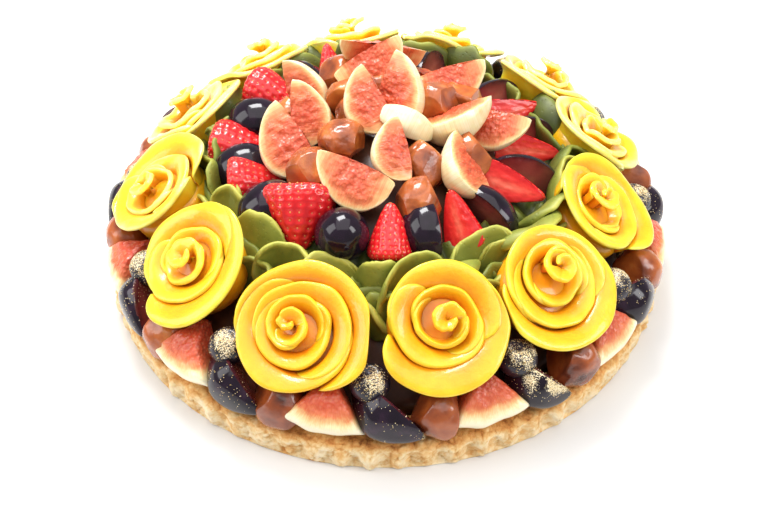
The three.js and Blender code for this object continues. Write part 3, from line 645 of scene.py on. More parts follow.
# Gold powder brushed on a skin: dry, pale and grainy, thick where the depth value is high
def dust_with_gold(tree, shader, place, colour):
    amount = add(tree, "ShaderNodeAttribute", attribute_name="depth").outputs["Fac"]
    grain = add(tree, "ShaderNodeTexNoise", {"Vector": place, "Scale": per_mm(0.45), "Detail": 2.0})
    reach = add(tree, "ShaderNodeMath", {0: amount, 1: 1.1, 2: -0.62}, operation="MULTIPLY_ADD")
    sum_of = add(tree, "ShaderNodeMath", {0: reach.outputs[0], 1: grain.outputs["Fac"]},
                 operation="ADD")
    share = add(tree, "ShaderNodeMapRange", {"Value": sum_of.outputs[0], "From Min": 0.52,
                                             "From Max": 0.6})
    tone = add(tree, "ShaderNodeValToRGB", {"Fac": grain.outputs["Fac"]}, stops=[
        (0.3, "#A98A55"), (0.5, "#DCC79C"), (0.7, "#F6EACB")])
    dusted = add(tree, "ShaderNodeMix", {"Factor": share.outputs[0], "A": colour,
                                         "B": tone.outputs["Color"]}, data_type="RGBA")
    tree.links.new(dusted.outputs["Result"], shader.inputs["Base Color"])
    for name, dull in (("Roughness", 0.6), ("Coat Weight", 0.0)):
        changed = add(tree, "ShaderNodeMapRange", {
            "Value": share.outputs[0], "To Min": shader.inputs[name].default_value, "To Max": dull})
        tree.links.new(changed.outputs[0], shader.inputs[name])


# Black grape skin: near-black purple under glaze, with patches of grey bloom
def grape_skin():
    material, tree, shader, place = new_material(
        "black_grape_skin", 0.14, 1.34, Coat_Weight=0.22, Coat_Roughness=0.03)
    colour = clouded(tree, shader, place, 9, 4.0, [
        (0.3, "#0E0710"), (0.55, "#1C101E"), (0.75, "#362133")])[1]
    dust_with_gold(tree, shader, place, colour)
    grainy(tree, shader, place, 2.5, 2.0, 0.15, 0.25)
    return material


# Cut black grape: moist maroon-brown flesh, darker under the skin, with pale veins
def grape_flesh():
    material, tree, shader, place = new_material(
        "cut_black_grape_flesh", 0.22, 1.38, Subsurface_Weight=0.2, Subsurface_Scale=0.002,
        Subsurface_Radius=(1.0, 0.4, 0.25), Coat_Weight=0.5, Coat_Roughness=0.08)
    heart = add(tree, "ShaderNodeAttribute", attribute_name="grain").outputs["Fac"]
    cloud, total = mottled(tree, place, heart, 4, 4.0, 0.6, -0.3)
    coloured(tree, shader, total, [
        (0.0, "#9A5A48"), (0.35, "#84423A"), (0.75, "#6B2E2C"), (1.0, "#3A1620")])
    bump(tree, shader, cloud, 0.4, 0.4)
    return material


# Candied chestnut: sticky amber-brown glaze, darker in the creases and hollows as painted shade
def candied_chestnut():
    material, tree, shader, place = new_material(
        "candied_chestnut", 0.26, 1.42, Subsurface_Weight=0.15, Subsurface_Scale=0.003,
        Subsurface_Radius=(1.0, 0.45, 0.15), Coat_Weight=0.45, Coat_Roughness=0.08)
    crease = add(tree, "ShaderNodeAttribute", attribute_name="depth").outputs["Fac"]
    tone = add(tree, "ShaderNodeAttribute", attribute_name="grain").outputs["Fac"]
    total = mottled(tree, place, crease, 5, 5.0, 0.7, -0.35)[1]
    total = add(tree, "ShaderNodeMath", {0: total, 1: tone}, operation="ADD")
    coloured(tree, shader, total.outputs[0], [
        (0.0, "#C87C3C"), (0.3, "#AC5A28"), (0.6, "#8C4420"), (0.85, "#6E341C"),
        (1.0, "#4A2012")])
    grainy(tree, shader, place, 1.4, 3.0, 0.3, 0.5)
    return material


# Green whipped cream, spread thin and curled: matt with small air pits, paler and yellower
# at the thin edges, partly its own colour and partly painted light, and darker at its foot and
# in the hollows of its bed as painted shade
def green_cream():
    material, tree, shader, place = new_material(
        "pistachio_cream", 0.5, 1.45, Subsurface_Weight=0.2, Subsurface_Scale=0.002,
        Subsurface_Radius=(0.7, 1.0, 0.3))
    depth = add(tree, "ShaderNodeAttribute", attribute_name="depth").outputs["Fac"]
    coloured(tree, shader, mottled(tree, place, depth, 6, 4.0, 0.5, -0.25)[1], [
        (0.0, "#B0AE4C"), (0.14, "#94973C"), (0.42, "#747B2E"), (0.75, "#525B20"),
        (1.0, "#323B12")])
    pits = add(tree, "ShaderNodeTexVoronoi", {"Vector": place, "Scale": per_mm(2.2)})
    pit = add(tree, "ShaderNodeMapRange", {"Value": pits.outputs["Distance"], "From Min": 0.0,
                                           "From Max": 0.25})
    bump(tree, shader, pit.outputs[0], 0.35, 0.6)
    return material


# Blueberry skin: dusky blue-black under the powder
def blueberry_skin():
    material, tree, shader, place = new_material(
        "blueberry_skin", 0.35, 1.4, Coat_Weight=0.3, Coat_Roughness=0.1)
    cloud, colour = clouded(tree, shader, place, 3, 4.0, [
        (0.3, "#110E14"), (0.6, "#241E2A"), (0.8, "#3C3640")])
    dust_with_gold(tree, shader, place, colour)
    bump(tree, shader, cloud, 0.2, 0.3)
    return material


# Edible gold: fine grains of leaf that glint pale gold
def gold_powder():
    material, tree, shader, place = new_material("edible_gold_powder", 0.34, 1.5, Metallic=1.0)
    clouded(tree, shader, place, 0.8, 2.0, [(0.3, "#C9A15C"), (0.5, "#E6CE96"), (0.7, "#FBF0CF")])
    return material


# Custard under the fruit, moist, painted dark brown as the shade in the gaps between the pieces
def custard():
    material, tree, shader, place = new_material(
        "custard_in_painted_shade", 0.5, 1.4, Coat_Weight=0.12, Coat_Roughness=0.2)
    cloud = clouded(tree, shader, place, 8, 4.0, [(0.3, "#341C10"), (0.7, "#5C3520")])[0]
    bump(tree, shader, cloud, 0.8, 0.6)
    return material


# Painted studio table: smooth matt white
def studio_table():
    material, tree, shader, place = new_material("matt_white_table", 0.8, 1.45)
    clouded(tree, shader, place, 120, 2.0, [(0.4, "#DAD9D8"), (0.6, "#DEDDDC")])
    return material


MANGO = ripe_mango()
SHORTCRUST = sweet_shortcrust()
FIG = fig_flesh()
BERRY_SKIN = strawberry_skin()
BERRY_FLESH = strawberry_flesh()
BERRY_PIPS = strawberry_pips()
GRAPE_SKIN = grape_skin()
GRAPE_FLESH = grape_flesh()
CHESTNUT = candied_chestnut()
CREAM = green_cream()
BLUEBERRY = blueberry_skin()
GOLD = gold_powder()
CUSTARD = custard()


# Crust: one profile from the middle underneath, out, up the wall, over the lip and back in
def crust_shape():
    wall = CRUST_RADIUS
    profile = [
        (0, 0), (90, 0), (113, 0), (wall - 1.6, 0.1), (wall - 0.5, 0.8), (wall - 0.1, 2.6),
        (wall, 5.4), (wall, 8.2), (wall - 0.4, 10.4), (wall - 1.4, 12.1), (wall - 3.2, 12.9),
        (wall - 6.0, 12.9), (wall - 9.0, 12.5), (108, 12.2), (105.6, 11.6), (104.4, 9.5),
        (104, 5.4), (80, 5), (0, 5),
    ]

    def rule(u, v):
        radius, height = along(profile, v)
        radius, height = max(radius, 0.0), max(height, 0.0)
        turn = u * 2 * math.pi
        place = at_turn(turn, radius, height)
        outer = smooth((radius - 104) / 8) * smooth(height / 2)
        low = smooth((12.4 - height) / 5)
        drift = 1.2 * noise.noise(Vector((math.cos(turn) * 3, math.sin(turn) * 3, 0.4)))
        flute = math.cos(turn * FLUTES + drift) * (0.8 + 0.9 * roughly(place, 25, 8.0))
        lump = roughly(place, 6.5, 1.0)
        crumb = roughly(place, 2.4, 2.0, 3)
        crack = max(0.0, 0.09 - abs(roughly(place, 7.0, 5.0, 2))) / 0.09
        move = FLUTE_DEPTH * flute * mix(0.35, 1.0, low) - 0.6 + 1.2 * lump + 0.5 * crumb
        move -= 0.8 * crack * low
        radius = min(radius + outer * move, RIM_REACH)
        height += outer * (1 - low) * (0.7 * lump + 0.35 * crumb - 0.3 * crack - 0.5)
        place = at_turn(turn, radius, max(height, 0.0))
        # Browner on the baked lip; darker in cracks and hollows and lighter on lumps as painted shade
        toast_and_shade = 0.24 + 0.36 * smooth((height - 9) / 3) + 0.25 * crack - 0.3 * lump - 0.2 * crumb
        return place, toast_and_shade, 0.0

    return wrapped(1200, 72, rule)


# Filling: a smooth dome under the fruit
def filling_shape():
    points = [(radius, height - 0.6) for radius, height in FILLING_TOP]
    profile = [(0, 5.4), (102, 5.4)] + list(reversed(points))

    def rule(u, v):
        radius, height = along(profile, v)
        radius = min(max(radius, 0.0), 103)
        turn = u * 2 * math.pi
        place = at_turn(turn, radius, height)
        place.z += 0.4 * roughly(place, 9) * smooth((height - 8) / 4) * smooth(radius / 10)
        return place, 0.0, 0.0

    return wrapped(160, 60, rule)


# Mango roses

# The radius of a rose's coil after some turns
def coil_radius(rose, turns):
    hole, widening, growth, _ = rose["coil"]
    return hole + widening * turns + growth * turns ** 2


# How high the coil's edge stands at a share of its length: the bud up, the middle rings
# lower, the outer rim up again
def coil_height(share, stand):
    fall = mix(0.6 + stand, -1.8, smooth((share - 0.22) / 0.22))
    return fall + 2.2 * smooth((share - 0.5) / 0.48)


# One mango slice standing on edge in the coil, its top flared out towards the next
def petal(rose, number, seed):
    last = rose["coil"][3]
    start, end = PETALS[number]
    before = PETALS[number - 1][1] if number else start
    first_angle = math.radians(rose["end"]) + 2 * math.pi * last
    bud = Vector((*rose["bud"], 0))
    lobe = draw(seed + number * 3.3) * RANDOM_PHASE

    def surface(u, s):
        share = mix(start, end, u)
        turns = share * last
        angle = first_angle - turns * 2 * math.pi
        wave = 0.5 * math.sin(angle * 2.0 + lobe) + 0.4 * math.sin(angle * 3.7 + lobe * 2)
        wave *= rose["ruffle"] * min(1.0, turns / 2)
        nick = 0.5 * rose["ruffle"] * noise.noise(Vector((angle * 2.2, seed + number * 5.0, 0)))
        ends = abs(2 * u - 1) ** 6
        cover = 1 - (0.5 if number else 0.45) * (ends if number or u > 0.5 else 0)
        rim = coil_radius(rose, turns) + mix(1.1, -0.5, u) * min(1.0, number) + 0.7 * wave + nick
        ditch = rose["moat"] * smooth((turns - 0.9) / 0.4) * (1 - smooth((turns - 1.9) / 0.7))
        inner = coil_radius(rose, turns - 1) + 0.4 + ditch if turns > 1 else 0.4
        close = smooth((share - start) / (before - start + 0.02)) if number else 1
        wall = mix(rim - 2.2, min(inner, rim - 1.6), close)
        top = coil_height(share, rose["stand"]) + 0.7 * wave + 0.6 * nick + (1 - u) * 0.3
        foot = 0.3 + 2.6 * turns
        spread = rim - wall
        steep = 1 + 0.4 * smooth(ditch / 2)
        drop = 0.9 * smooth((share - 0.62) / 0.35)
        top -= rose["droop"] * smooth((share - 0.45) / 0.45)
        profile = [
            (foot, -ROSE_DEPTH), (mix(foot, wall, 0.8), top - 10), (wall - 0.2, top - 4.2),
            (wall + spread * 0.22, top - 1.9 * steep), (wall + spread * 0.6, top - 0.6 * steep),
            (rim, top - drop),
        ]
        radius, height = along(profile, s * cover)
        shift = bud * (1 - smooth(share / 0.9))
        return at_turn(angle, radius, height) + shift

    def thickness(u, s):
        return SLICE_THICKNESS * min(1.0, s * 5) * rounded(s, 0.92) * ended(u, 10)

    # The deeper below a petal's rim, the deeper orange, partly the fruit's own colour and partly
    # painted shade in the grooves; the outside of the last petals is seen from the side, gets
    # less of that painted shade and stays light
    def depth_rule(u, s, side):
        below = 1.25 * (1 - s)
        if side < 0:
            below = below * 0.9 if number < 3 else min(0.4, below * 0.45)
        return min(1.0, below), rose["tone"]

    steps = 26 + int(60 * (end - start) * last) + number * 4
    return sheet_of(steps, 14, surface, thickness, depth_rule)


# The heart of a rose, seen at the bottom of its grooves, painted at a middle depth of the
# groove shade
def rose_heart(rose):
    profile = [(0, -3.6), (6, -4.8), (12, -6.6), (17, -9.5), (16, -18), (10, -ROSE_DEPTH),
               (0, -ROSE_DEPTH)]

    def rule(u, v):
        radius, height = along(profile, v)
        turn = u * 2 * math.pi
        place = at_turn(turn, radius, height)
        return place, 0.55, rose["tone"]

    return wrapped(28, 14, rule)


# Moves a rose's own middle to the middle of its outline and gives it its radius
def centre_rose(shape, rose):
    rim = [vert.co for vert in shape.verts if vert.co.z > -8]
    low_x, high_x = min(co.x for co in rim), max(co.x for co in rim)
    low_y, high_y = min(co.y for co in rim), max(co.y for co in rim)
    middle = Vector(((low_x + high_x) / 2, (low_y + high_y) / 2, 0))
    grow = 4 * rose["radius"] / (high_x - low_x + high_y - low_y)
    bmesh.ops.translate(shape, vec=-middle, verts=shape.verts)
    bmesh.ops.scale(shape, vec=(grow, grow, 1), verts=shape.verts)
    bmesh.ops.translate(shape, vec=(*rose["shift"], 0), verts=shape.verts)


# Moves a point back inside a plane softly, as pressed fruit gives
def pressed(point, planes):
    give = 1.8
    for normal in planes:
        gap = point.dot(normal)
        if gap < give:
            point = point + normal * (give * math.exp((gap - give) / give) - gap)
    return point


def rose_bearing(index):
    return ROSE_FIRST_BEARING + index * ROSE_PITCH + ROSES[index % len(ROSES)]["nudge"]


def rose_shape(index):
    rose = ROSES[index]
    bearing = rose_bearing(index)
    shape = new_shape()
    for number in range(len(PETALS)):
        add_part(shape, petal(rose, number, index + 0.5))
    add_part(shape, rose_heart(rose))
    centre_rose(shape, rose)
    place = on_ring(bearing, ROSE_RING_RADIUS, ROSE_HEIGHT + rose["lift"])
    moved(shape, setting(place, (bearing, 90 - ROSE_LEAN), (bearing, -ROSE_LEAN)))
    previous, following = rose_bearing(index - 1), rose_bearing(index + 1)
    planes = [
        on_ring((bearing + previous) / 2 + 90, 1, 0),
        on_ring((bearing + following) / 2 - 90, 1, 0),
    ]
    for vert in shape.verts:
        vert.co = pressed(vert.co, planes)
    return shape


# Figs: a wedge with one cut face to +Y, its core along Z, its skin to the left or right
def fig_shape(skin, seed):
    radius = FIG_WIDTH / 2
    side = 1 if skin == "left" else -1
    wedge = math.radians(FIG_WEDGE_ANGLE)

    def rule(u, v):
        belly = math.sin(math.pi * v ** 0.8) ** 0.55 if 0 < v < 1 else 0.0
        height = (v - 0.5) * FIG_LENGTH
        if u < 0.4:
            out, angle = u / 0.4, 0.0
        elif u < 0.6:
            out, angle = 1.0, wedge * (u - 0.4) / 0.2
        else:
            out, angle = (1 - u) / 0.4, wedge
        corner = 1 - 0.05 * (2 - smooth(abs(u - 0.4) / 0.05) - smooth(abs(u - 0.6) / 0.05))
        reach = radius * belly * out * corner
        place = Vector((side * reach * math.cos(angle), -reach * math.sin(angle), height))
        from_end = 0.55 * (1 - abs(2 * v - 1)) * FIG_LENGTH / 2 + 1.2
        rind = min(radius * belly * (1 - out), from_end)
        flesh = smooth((rind - FIG_RIND + 0.9) / 2.0)
        relief = 0.8 * roughly(place, 3.0, seed) + 0.45 * roughly(place, 1.3, seed + 3, 2)
        move = flesh * relief + 1.1 * math.sin(math.pi * out) * belly
        place.x -= side * 0.14 * radius * belly * (1 - out) ** 2
        if u < 0.4:
            place.y += move * belly
        elif u > 0.6:
            place -= Vector((side * math.sin(wedge), math.cos(wedge), 0)) * (move * belly)
        else:
            skin_wave = 0.5 * roughly(place, 9, seed + 7)
            place *= 1 + skin_wave / radius
        if rind < FIG_RIND:
            depth = mix(0.1, RIND_DEPTH, rind / FIG_RIND)
        else:
            depth = RIND_DEPTH + 0.6 * (rind - FIG_RIND) / (radius - FIG_RIND)
        return place, min(1.0, depth), v * FIG_LENGTH / FIBRE_REACH

    shape = wrapped(56, 50, rule)
    middle = Vector((-side * radius * 0.5, radius * 0.25, 0))
    bmesh.ops.translate(shape, vec=middle, verts=shape.verts)
    return shape


# A rim fig: a thick fan of peeled fig, its point at +X and its broad rind at -X
def rim_fig_shape(seed):
    fan_half = math.radians(RIM_FIG_FAN / 2)
    reach = RIM_FIG_REACH * mix(0.94, 1.04, draw(seed))

    def surface(u, s):
        fan = fan_half * (2 * u - 1)
        far = reach * s * mix(1.0, math.cos(fan_half) / math.cos(fan), RIM_FIG_FLATNESS)
        far *= 1 + 0.04 * noise.noise(Vector((u * 4, seed * 3.0, 0)))
        return Vector((reach * 0.55 - far * math.cos(fan), 0, far * math.sin(fan)))

    def thickness(u, s):
        return RIM_FIG_THICKNESS * mix(0.3, 1.0, smooth(s / 0.5)) * ended(u, 14) * rounded(s, 0.86)

    def depth_rule(u, s, side):
        rind = reach * (1 - s)
        # The rind is painted paler than a centre fig's, as light for rim figs that face away from the
        # lamps
        if rind < RIM_FIG_RIND:
            return mix(-0.1, RIND_DEPTH, rind / RIM_FIG_RIND), u * FIG_LENGTH / FIBRE_REACH
        share = (rind - RIM_FIG_RIND) / (reach - RIM_FIG_RIND)
        return min(1.0, 0.4 + 0.55 * share), u * FIG_LENGTH / FIBRE_REACH

    shape = sheet_of(44, 30, surface, thickness, depth_rule)
    for vert in shape.verts:
        far = math.hypot(reach * 0.55 - vert.co.x, vert.co.z)
        flesh = smooth((reach - far - RIM_FIG_RIND + 0.9) / 2.0)
        relief = 0.7 * roughly(vert.co, 3.0, seed) + 0.4 * roughly(vert.co, 1.3, seed + 3, 2)
        if vert.co.y > 1:
            vert.co.y += flesh * (relief + 0.8)
    return shape


# Draws a grape out to a point at both ends, as a slice cut lengthwise has
def point_ends(shape):
    tall = GRAPE_LENGTH / 2
    for vert in shape.verts:
        share = min(0.995, abs(vert.co.z) / tall)
        pinch = (1 - share ** 1.7) ** 0.85 / math.sqrt(1 - share * share)
        vert.co.x *= pinch
        vert.co.y *= pinch
        vert.co.z *= 1.15


# A strawberry's outline from its shoulder to its tip, as shares of half its size
STRAWBERRY_PROFILE = [
    (0, -0.88), (0.5, -0.9), (0.86, -0.86), (1.0, -0.68), (0.95, -0.42), (0.81, -0.08),
    (0.62, 0.28), (0.4, 0.62), (0.2, 0.88), (0, 1.0),
]


def strawberry_point(turn, v):
    radius, height = along(STRAWBERRY_PROFILE, v)
    radius = max(0.0, radius) * STRAWBERRY_WIDTH / 2
    return at_turn(turn, radius, height * STRAWBERRY_LENGTH / 2)


# The seeds sit in staggered rows round the berry
def seed_places():
    places = []
    rows = 13
    for row in range(rows):
        v = mix(0.17, 0.96, row / (rows - 1))
        ring = strawberry_point(0, v)
        count = max(3, round(2 * math.pi * ring.x / 3.3))
        for k in range(count):
            turn = 2 * math.pi * (k + 0.5 * (row % 2) + 0.24 * draw(row * 31 + k)) / count
            places.append((turn, v))
    return places


# A strawberry with its tip at +Z, whole or with a flat cut to +Y, and its pips
def strawberry_shape(half, seed):
    places = seed_places()
    tree = kdtree.KDTree(len(places))
    for k, (turn, v) in enumerate(places):
        tree.insert(strawberry_point(turn, v), k)
    tree.balance()
    level = 0.1 * STRAWBERRY_WIDTH

    def rule(u, v):
        place = strawberry_point(u * 2 * math.pi, v)
        if half:
            radius = math.hypot(place.x, place.y)
            place.x, place.y = cut_round(u, radius, level)
            if u < FLAT_SHARE and radius > level:
                half_width = math.sqrt(radius * radius - level * level)
                edge = min(1.0, max(abs(place.x) / half_width, abs(2 * v - 1) ** 2))
                inner = 1 - edge ** 4
                place.y += inner * (0.3 * roughly(place, 3, seed, 2) + 0.25)
                return place, 1.0, edge
        distance = tree.find(place)[2]
        dimple = math.exp(-(distance / 0.75) ** 2)
        puff = smooth(distance / 1.6)
        lump = roughly(place, 9, seed)
        outward = Vector((place.x, place.y, place.z * 0.5))
        outward = outward.normalized() if outward.length > 1e-6 else Vector((0, 0, 1))
        place = place * (1 + 0.05 * lump) + outward * (0.16 * puff - 0.6 * dimple)
        return place, min(1.0, distance / 2.0), 1.0

    skin = wrapped(104, 66, rule)
    if half:
        mark_cut(skin, level)
    shape = new_shape()
    add_part(shape, skin)
    for turn, v in places:
        place = strawberry_point(turn, v)
        if half and place.y > level - 0.4:
            continue
        axis = Vector((place.x, place.y, place.z * 0.5)).normalized()
        pip = new_shape()
        bmesh.ops.create_icosphere(pip, subdivisions=1, radius=0.42)
        bmesh.ops.scale(pip, vec=(0.62, 0.5, 1.15), verts=pip.verts)
        turned = axis.to_track_quat("Y", "Z").to_matrix().to_4x4()
        for face in pip.faces:
            face.material_index = 2
        add_part(shape, moved(pip, Matrix.Translation(place - axis * 0.28) @ turned))
    return shape


# A grape with its long axis along Z, whole or with a flat cut to +Y
def grape_shape(half, seed, up=28):
    wide, tall = GRAPE_WIDTH / 2, GRAPE_LENGTH / 2
    level = 0.12 * GRAPE_WIDTH
    cut_wide = math.sqrt(wide * wide - level * level)
    cut_tall = tall * cut_wide / wide

    def rule(u, v):
        rise = (v - 0.5) * math.pi
        radius, height = wide * math.cos(rise), tall * math.sin(rise)
        if not half:
            turn = u * 2 * math.pi
            place = at_turn(turn, radius, height)
            return place * (1 + 0.02 * roughly(place, 9, seed)), 0.0, 1.0
        x, y = cut_round(u, radius, level)
        place = Vector((x, y, height))
        edge = min(1.0, math.hypot(x / cut_wide, height / cut_tall))
        if u < FLAT_SHARE and radius > level:
            inner = 1 - edge ** 4
            place.y += inner * (0.25 * roughly(place, 2.6, seed, 2) - 0.5)
            return place, 0.0, edge
        return place * (1 + 0.02 * roughly(place, 9, seed)), 0.0, 1.0

    skin = wrapped(44, up, rule)
    return mark_cut(skin, level) if half else skin


# A chestnut: a lumpy ball with five sides broken off nearly flat
def chestnut_shape(seed, fineness=5, tone=0.0):
    radius = CHESTNUT_WIDTH / 2
    shape = new_shape()
    depth, grain = (shape.verts.layers.float[name] for name in ("depth", "grain"))
    bmesh.ops.create_icosphere(shape, subdivisions=fineness, radius=1.0)
    broken = [Vector((draw(seed + k) - 0.5, draw(seed + k + 9) - 0.5, draw(seed + k + 18) - 0.5))
              .normalized() for k in range(5)]
    for vert in shape.verts:
        way = vert.co.normalized()
        place = Vector((way.x * radius, way.y * radius * 0.9, way.z * radius * 0.82))
        low = roughly(place, 9.5, seed, 2)
        crease = smooth(1 - abs(roughly(place, 9.0, seed + 4)) / 0.16)
        fine = roughly(place, 3.0, seed + 9, 2)
        place *= 1.0 + 0.12 * low - 0.01 * crease + 0.02 * fine
        for k, side in enumerate(broken):
            level = radius * mix(0.5, 0.78, draw(seed + k * 3 + 5))
            past = place.dot(side) - level
            if past > 0:
                place -= side * (past * 0.93)
        vert.co = place
        # Painted shade: darker in the creases and where the surface sinks, lighter where it bulges
        vert[depth] = min(1.0, max(0.0, 0.36 + 0.08 * crease - 0.5 * low))
        vert[grain] = tone
    return shape


# A blueberry with its sunken crown at +Z
def blueberry_shape(seed):
    radius = BLUEBERRY_WIDTH / 2

    def rule(u, v):
        turn, rise = u * 2 * math.pi, (v - 0.5) * math.pi
        place = at_turn(turn, radius * math.cos(rise), radius * 0.9 * math.sin(rise))
        place.z -= 1.2 * smooth((v - 0.86) / 0.1)
        return place * (1 + 0.02 * roughly(place, 5, seed)), 0.0, 0.0

    return wrapped(28, 20, rule)


# A lobe of spread cream: a soft tongue standing on the dome, thick at its foot and thin at
# its round wavy edge, cupped across, its top rolled over
def cream_lobe(lobe, seed):
    bearing, radius = lobe["at"]
    base = on_ring(bearing, radius, filling_height(radius) - 2)
    out = on_ring(lobe["face"], 1, 0)
    side = on_ring(lobe["face"] + 90, 1, 0)
    lean, roll, cup = math.radians(lobe["lean"]), math.radians(lobe["roll"]), lobe["cup"]
    wide, tall = lobe["wide"], lobe["tall"]
    phase = draw(seed) * RANDOM_PHASE
    shade = 0.3 * (draw(seed + 4) - 0.4) + lobe.get("shaded", 0)
    steps = 7

    def surface(u, s):
        across = 2 * u - 1
        shoulder = max(0.0, (s - 0.45) / 0.55)
        half = wide / 2 * mix(0.66, 1.0, smooth(s / 0.5)) * math.sqrt(1 - 0.45 * shoulder ** 3)
        swing = across * cup
        jag = 1.2 * noise.noise(Vector((across * 2.0, seed * 3.0, 0)))
        jag += 0.3 * noise.noise(Vector((across * 9, seed * 5.0, 0)))
        crest = tall * (1 - 0.06 * across ** 2 - 0.26 * across ** 4 + lobe["slant"] * across) + jag * s
        rise = outward = 0.0
        for step in range(steps):
            bend = lean + roll * (s * (step + 0.5) / steps) ** 2
            rise += math.cos(bend) * s / steps
            outward += math.sin(bend) * s / steps
        wave = math.sin(across * 5.2 + phase) + 0.5 * math.sin(across * 9.0 + phase * 2)
        forward = half * (1 - math.cos(swing)) / cup + lobe["frill"] * s * s * wave
        place = base + side * (half * math.sin(swing) / cup) + out * (crest * outward + forward)
        place.z += crest * rise
        return place + out * (0.5 * roughly(place, 9, seed))

    def thickness(u, s):
        return mix(LOBE_FOOT_THICKNESS, 1.9, s) * rounded(s, 0.94) * ended(u, 12)

    # Painted shade: a lobe is darker away from its edges and towards its foot
    def depth_rule(u, s, side_of):
        edge = min((1 - s) * tall, (1 - abs(2 * u - 1)) * wide * 0.5 + 0.5)
        return min(1.0, shade + 0.4 * smooth(edge / 4.0) + 0.6 * smooth((0.6 - s) / 0.6)), 0.0

    return sheet_of(30, 12, surface, thickness, depth_rule)


# Lobes whose places and shapes are drawn from a seed, for the sides and the back
def seeded_lobes():
    lobes = []
    bearing = FIRST_SEEDED_LOBE
    while bearing < LAST_SEEDED_LOBE:
        share = [draw(bearing * 0.37 + k) for k in range(10)]
        lobes.append(dict(
            at=(bearing, mix(72, 75, share[0])), face=bearing + 60 * (share[1] - 0.5), shaded=0.3,
            wide=mix(29, 37, share[2]), tall=mix(25, 29, share[3]), lean=mix(-28, -12, share[4]),
            roll=mix(5, 110, share[5]), slant=0.3 * (share[9] - 0.5), frill=mix(0.4, 1.6, share[6]),
            cup=mix(0.4, 0.9, share[6]) if share[7] > 0.5 else mix(-1.0, -0.4, share[6])))
        bearing += mix(11, 15, share[8])
    return lobes


# One long pleated strip of cream behind the lobes, all the way round
def cream_strip():
    def surface(u, s):
        out = on_ring(360 * u, 1, 0)
        drift = noise.noise(out * 4)
        pleats = math.sin(2 * math.pi * 17 * u + 4 * drift)
        pleats += 0.35 * math.sin(2 * math.pi * 29 * u - 5 * drift)
        place = out * (mix(81, 75, s) + 2.0 * s * pleats)
        place.z = filling_height(79) - 2 + (17 + 4 * noise.noise(out * 5)) * s
        return place

    def thickness(u, s):
        return mix(LOBE_FOOT_THICKNESS, 2.2, s) * rounded(s, 0.92) * min(1.0, s * 8)

    # Painted shade: the strip behind the lobes is dark, darkest at its foot
    def depth_rule(u, s, side):
        return mix(0.95, 0.45, s), 0.0

    return sheet_of(330, 7, surface, thickness, depth_rule)


# Green cream: a rough bed round the dome and lobes of it between the berries and the roses
def cream_shape():
    shape = new_shape()
    profile = [
        (56, 0.2), (57, 2.0), (64, 3.5), (70, 6), (76, 7.5), (80, 5.2), (82.5, 0.4), (70, 0.2),
        (56, 0.2),
    ]

    def rule(u, v):
        radius, rise = along(profile, v)
        turn = u * 2 * math.pi
        flat = at_turn(turn, radius, 0)
        fold = abs(roughly(flat, 8, 2.0))
        rise *= 0.5 + 2.2 * fold + 0.5 * roughly(flat, 4, 5.0, 2)
        height = filling_height(radius) + max(0.2, rise)
        # Painted shade: the bed is dark in its hollows and lighter on its folds
        return flat + Vector((0, 0, height)), 1.0 - 1.3 * fold, 0.0

    add_part(shape, wrapped(400, 28, rule))
    add_part(shape, cream_strip())
    for number, lobe in enumerate(CREAM_LOBES + seeded_lobes()):
        add_part(shape, cream_lobe(lobe, number * 1.7))
        low = dict(lobe)
        low["at"] = (lobe["at"][0] + 6, 80)
        low["face"] = lobe["at"][0] + 70 * (draw(number + 3.3) - 0.5)
        low["tall"], low["lean"], low["roll"] = lobe["tall"] * 0.7, -20, 60
        low["cup"], low["frill"] = mix(0.4, 0.8, draw(number + 5.5)), 0.9
        add_part(shape, cream_lobe(low, number * 1.7 + 60))
    return shape


# Rim fruit: a fig wedge, a grape, a chestnut and, higher up, a blueberry in each group
def rim_group(index):
    bearing = RIM_FIRST_BEARING + index * 360 / RIM_GROUPS + 2 * (draw(index) - 0.5)
    tilt = 20 * (draw(index + 40) - 0.5)
    swing = 50 * (draw(index + 60) - 0.5)
    return [
        ("fig", bearing, RIM_RADIUS + 1, RIM_HEIGHT + 0.5, (bearing + 90, tilt), (bearing, 48)),
        ("grape", bearing + 11.5, RIM_RADIUS - 1, RIM_HEIGHT + 0.5,
         (bearing + 75 + 1.6 * swing, -12), (bearing + 190, 30)),
        ("chestnut", bearing + 20.5, RIM_RADIUS, RIM_HEIGHT - 1, (bearing, tilt * 2),
         (bearing + 160, 30)),
        ("blueberry", bearing + 8, RIM_RADIUS - 5, RIM_HEIGHT + 11, (bearing, 90), (bearing, 0)),
    ]


# All the rim fruit, sorted by kind, with the gold that lies on it
def rim_shapes():
    parts = {kind: new_shape() for kind in ("fig", "grape", "chestnut", "blueberry", "gold")}
    for index in range(RIM_GROUPS):
        dusted = index in DUSTED_GRAPES
        for kind, at, radius, height, tip, face in rim_group(index):
            matrix = setting(on_ring(at, radius, height), tip, face, RIM_SIZES[kind])
            if kind == "fig":
                part = rim_fig_shape(index + 30)
            elif kind == "grape":
                part = grape_shape(True, index, 30)
                point_ends(part)
            elif kind == "chestnut":
                part = chestnut_shape(index + 50, 5, mix(0.0, 0.28, draw(index + 7)))
            else:
                part = blueberry_shape(index)
            keep_on_rim(moved(part, matrix))
            if kind == "grape":
                powder(part, matrix.translation, HEAVY_POWDER if dusted else LIGHT_POWDER, index)
                add_gold(parts["gold"], part, MANY_GRAINS if dusted else FEW_GRAINS, index)
            elif kind == "blueberry":
                powder(part, matrix.translation, BLUEBERRY_POWDER, index + 20)
                add_gold(parts["gold"], part, MANY_GRAINS, index + 20)
            add_part(parts[kind], part)
    return parts


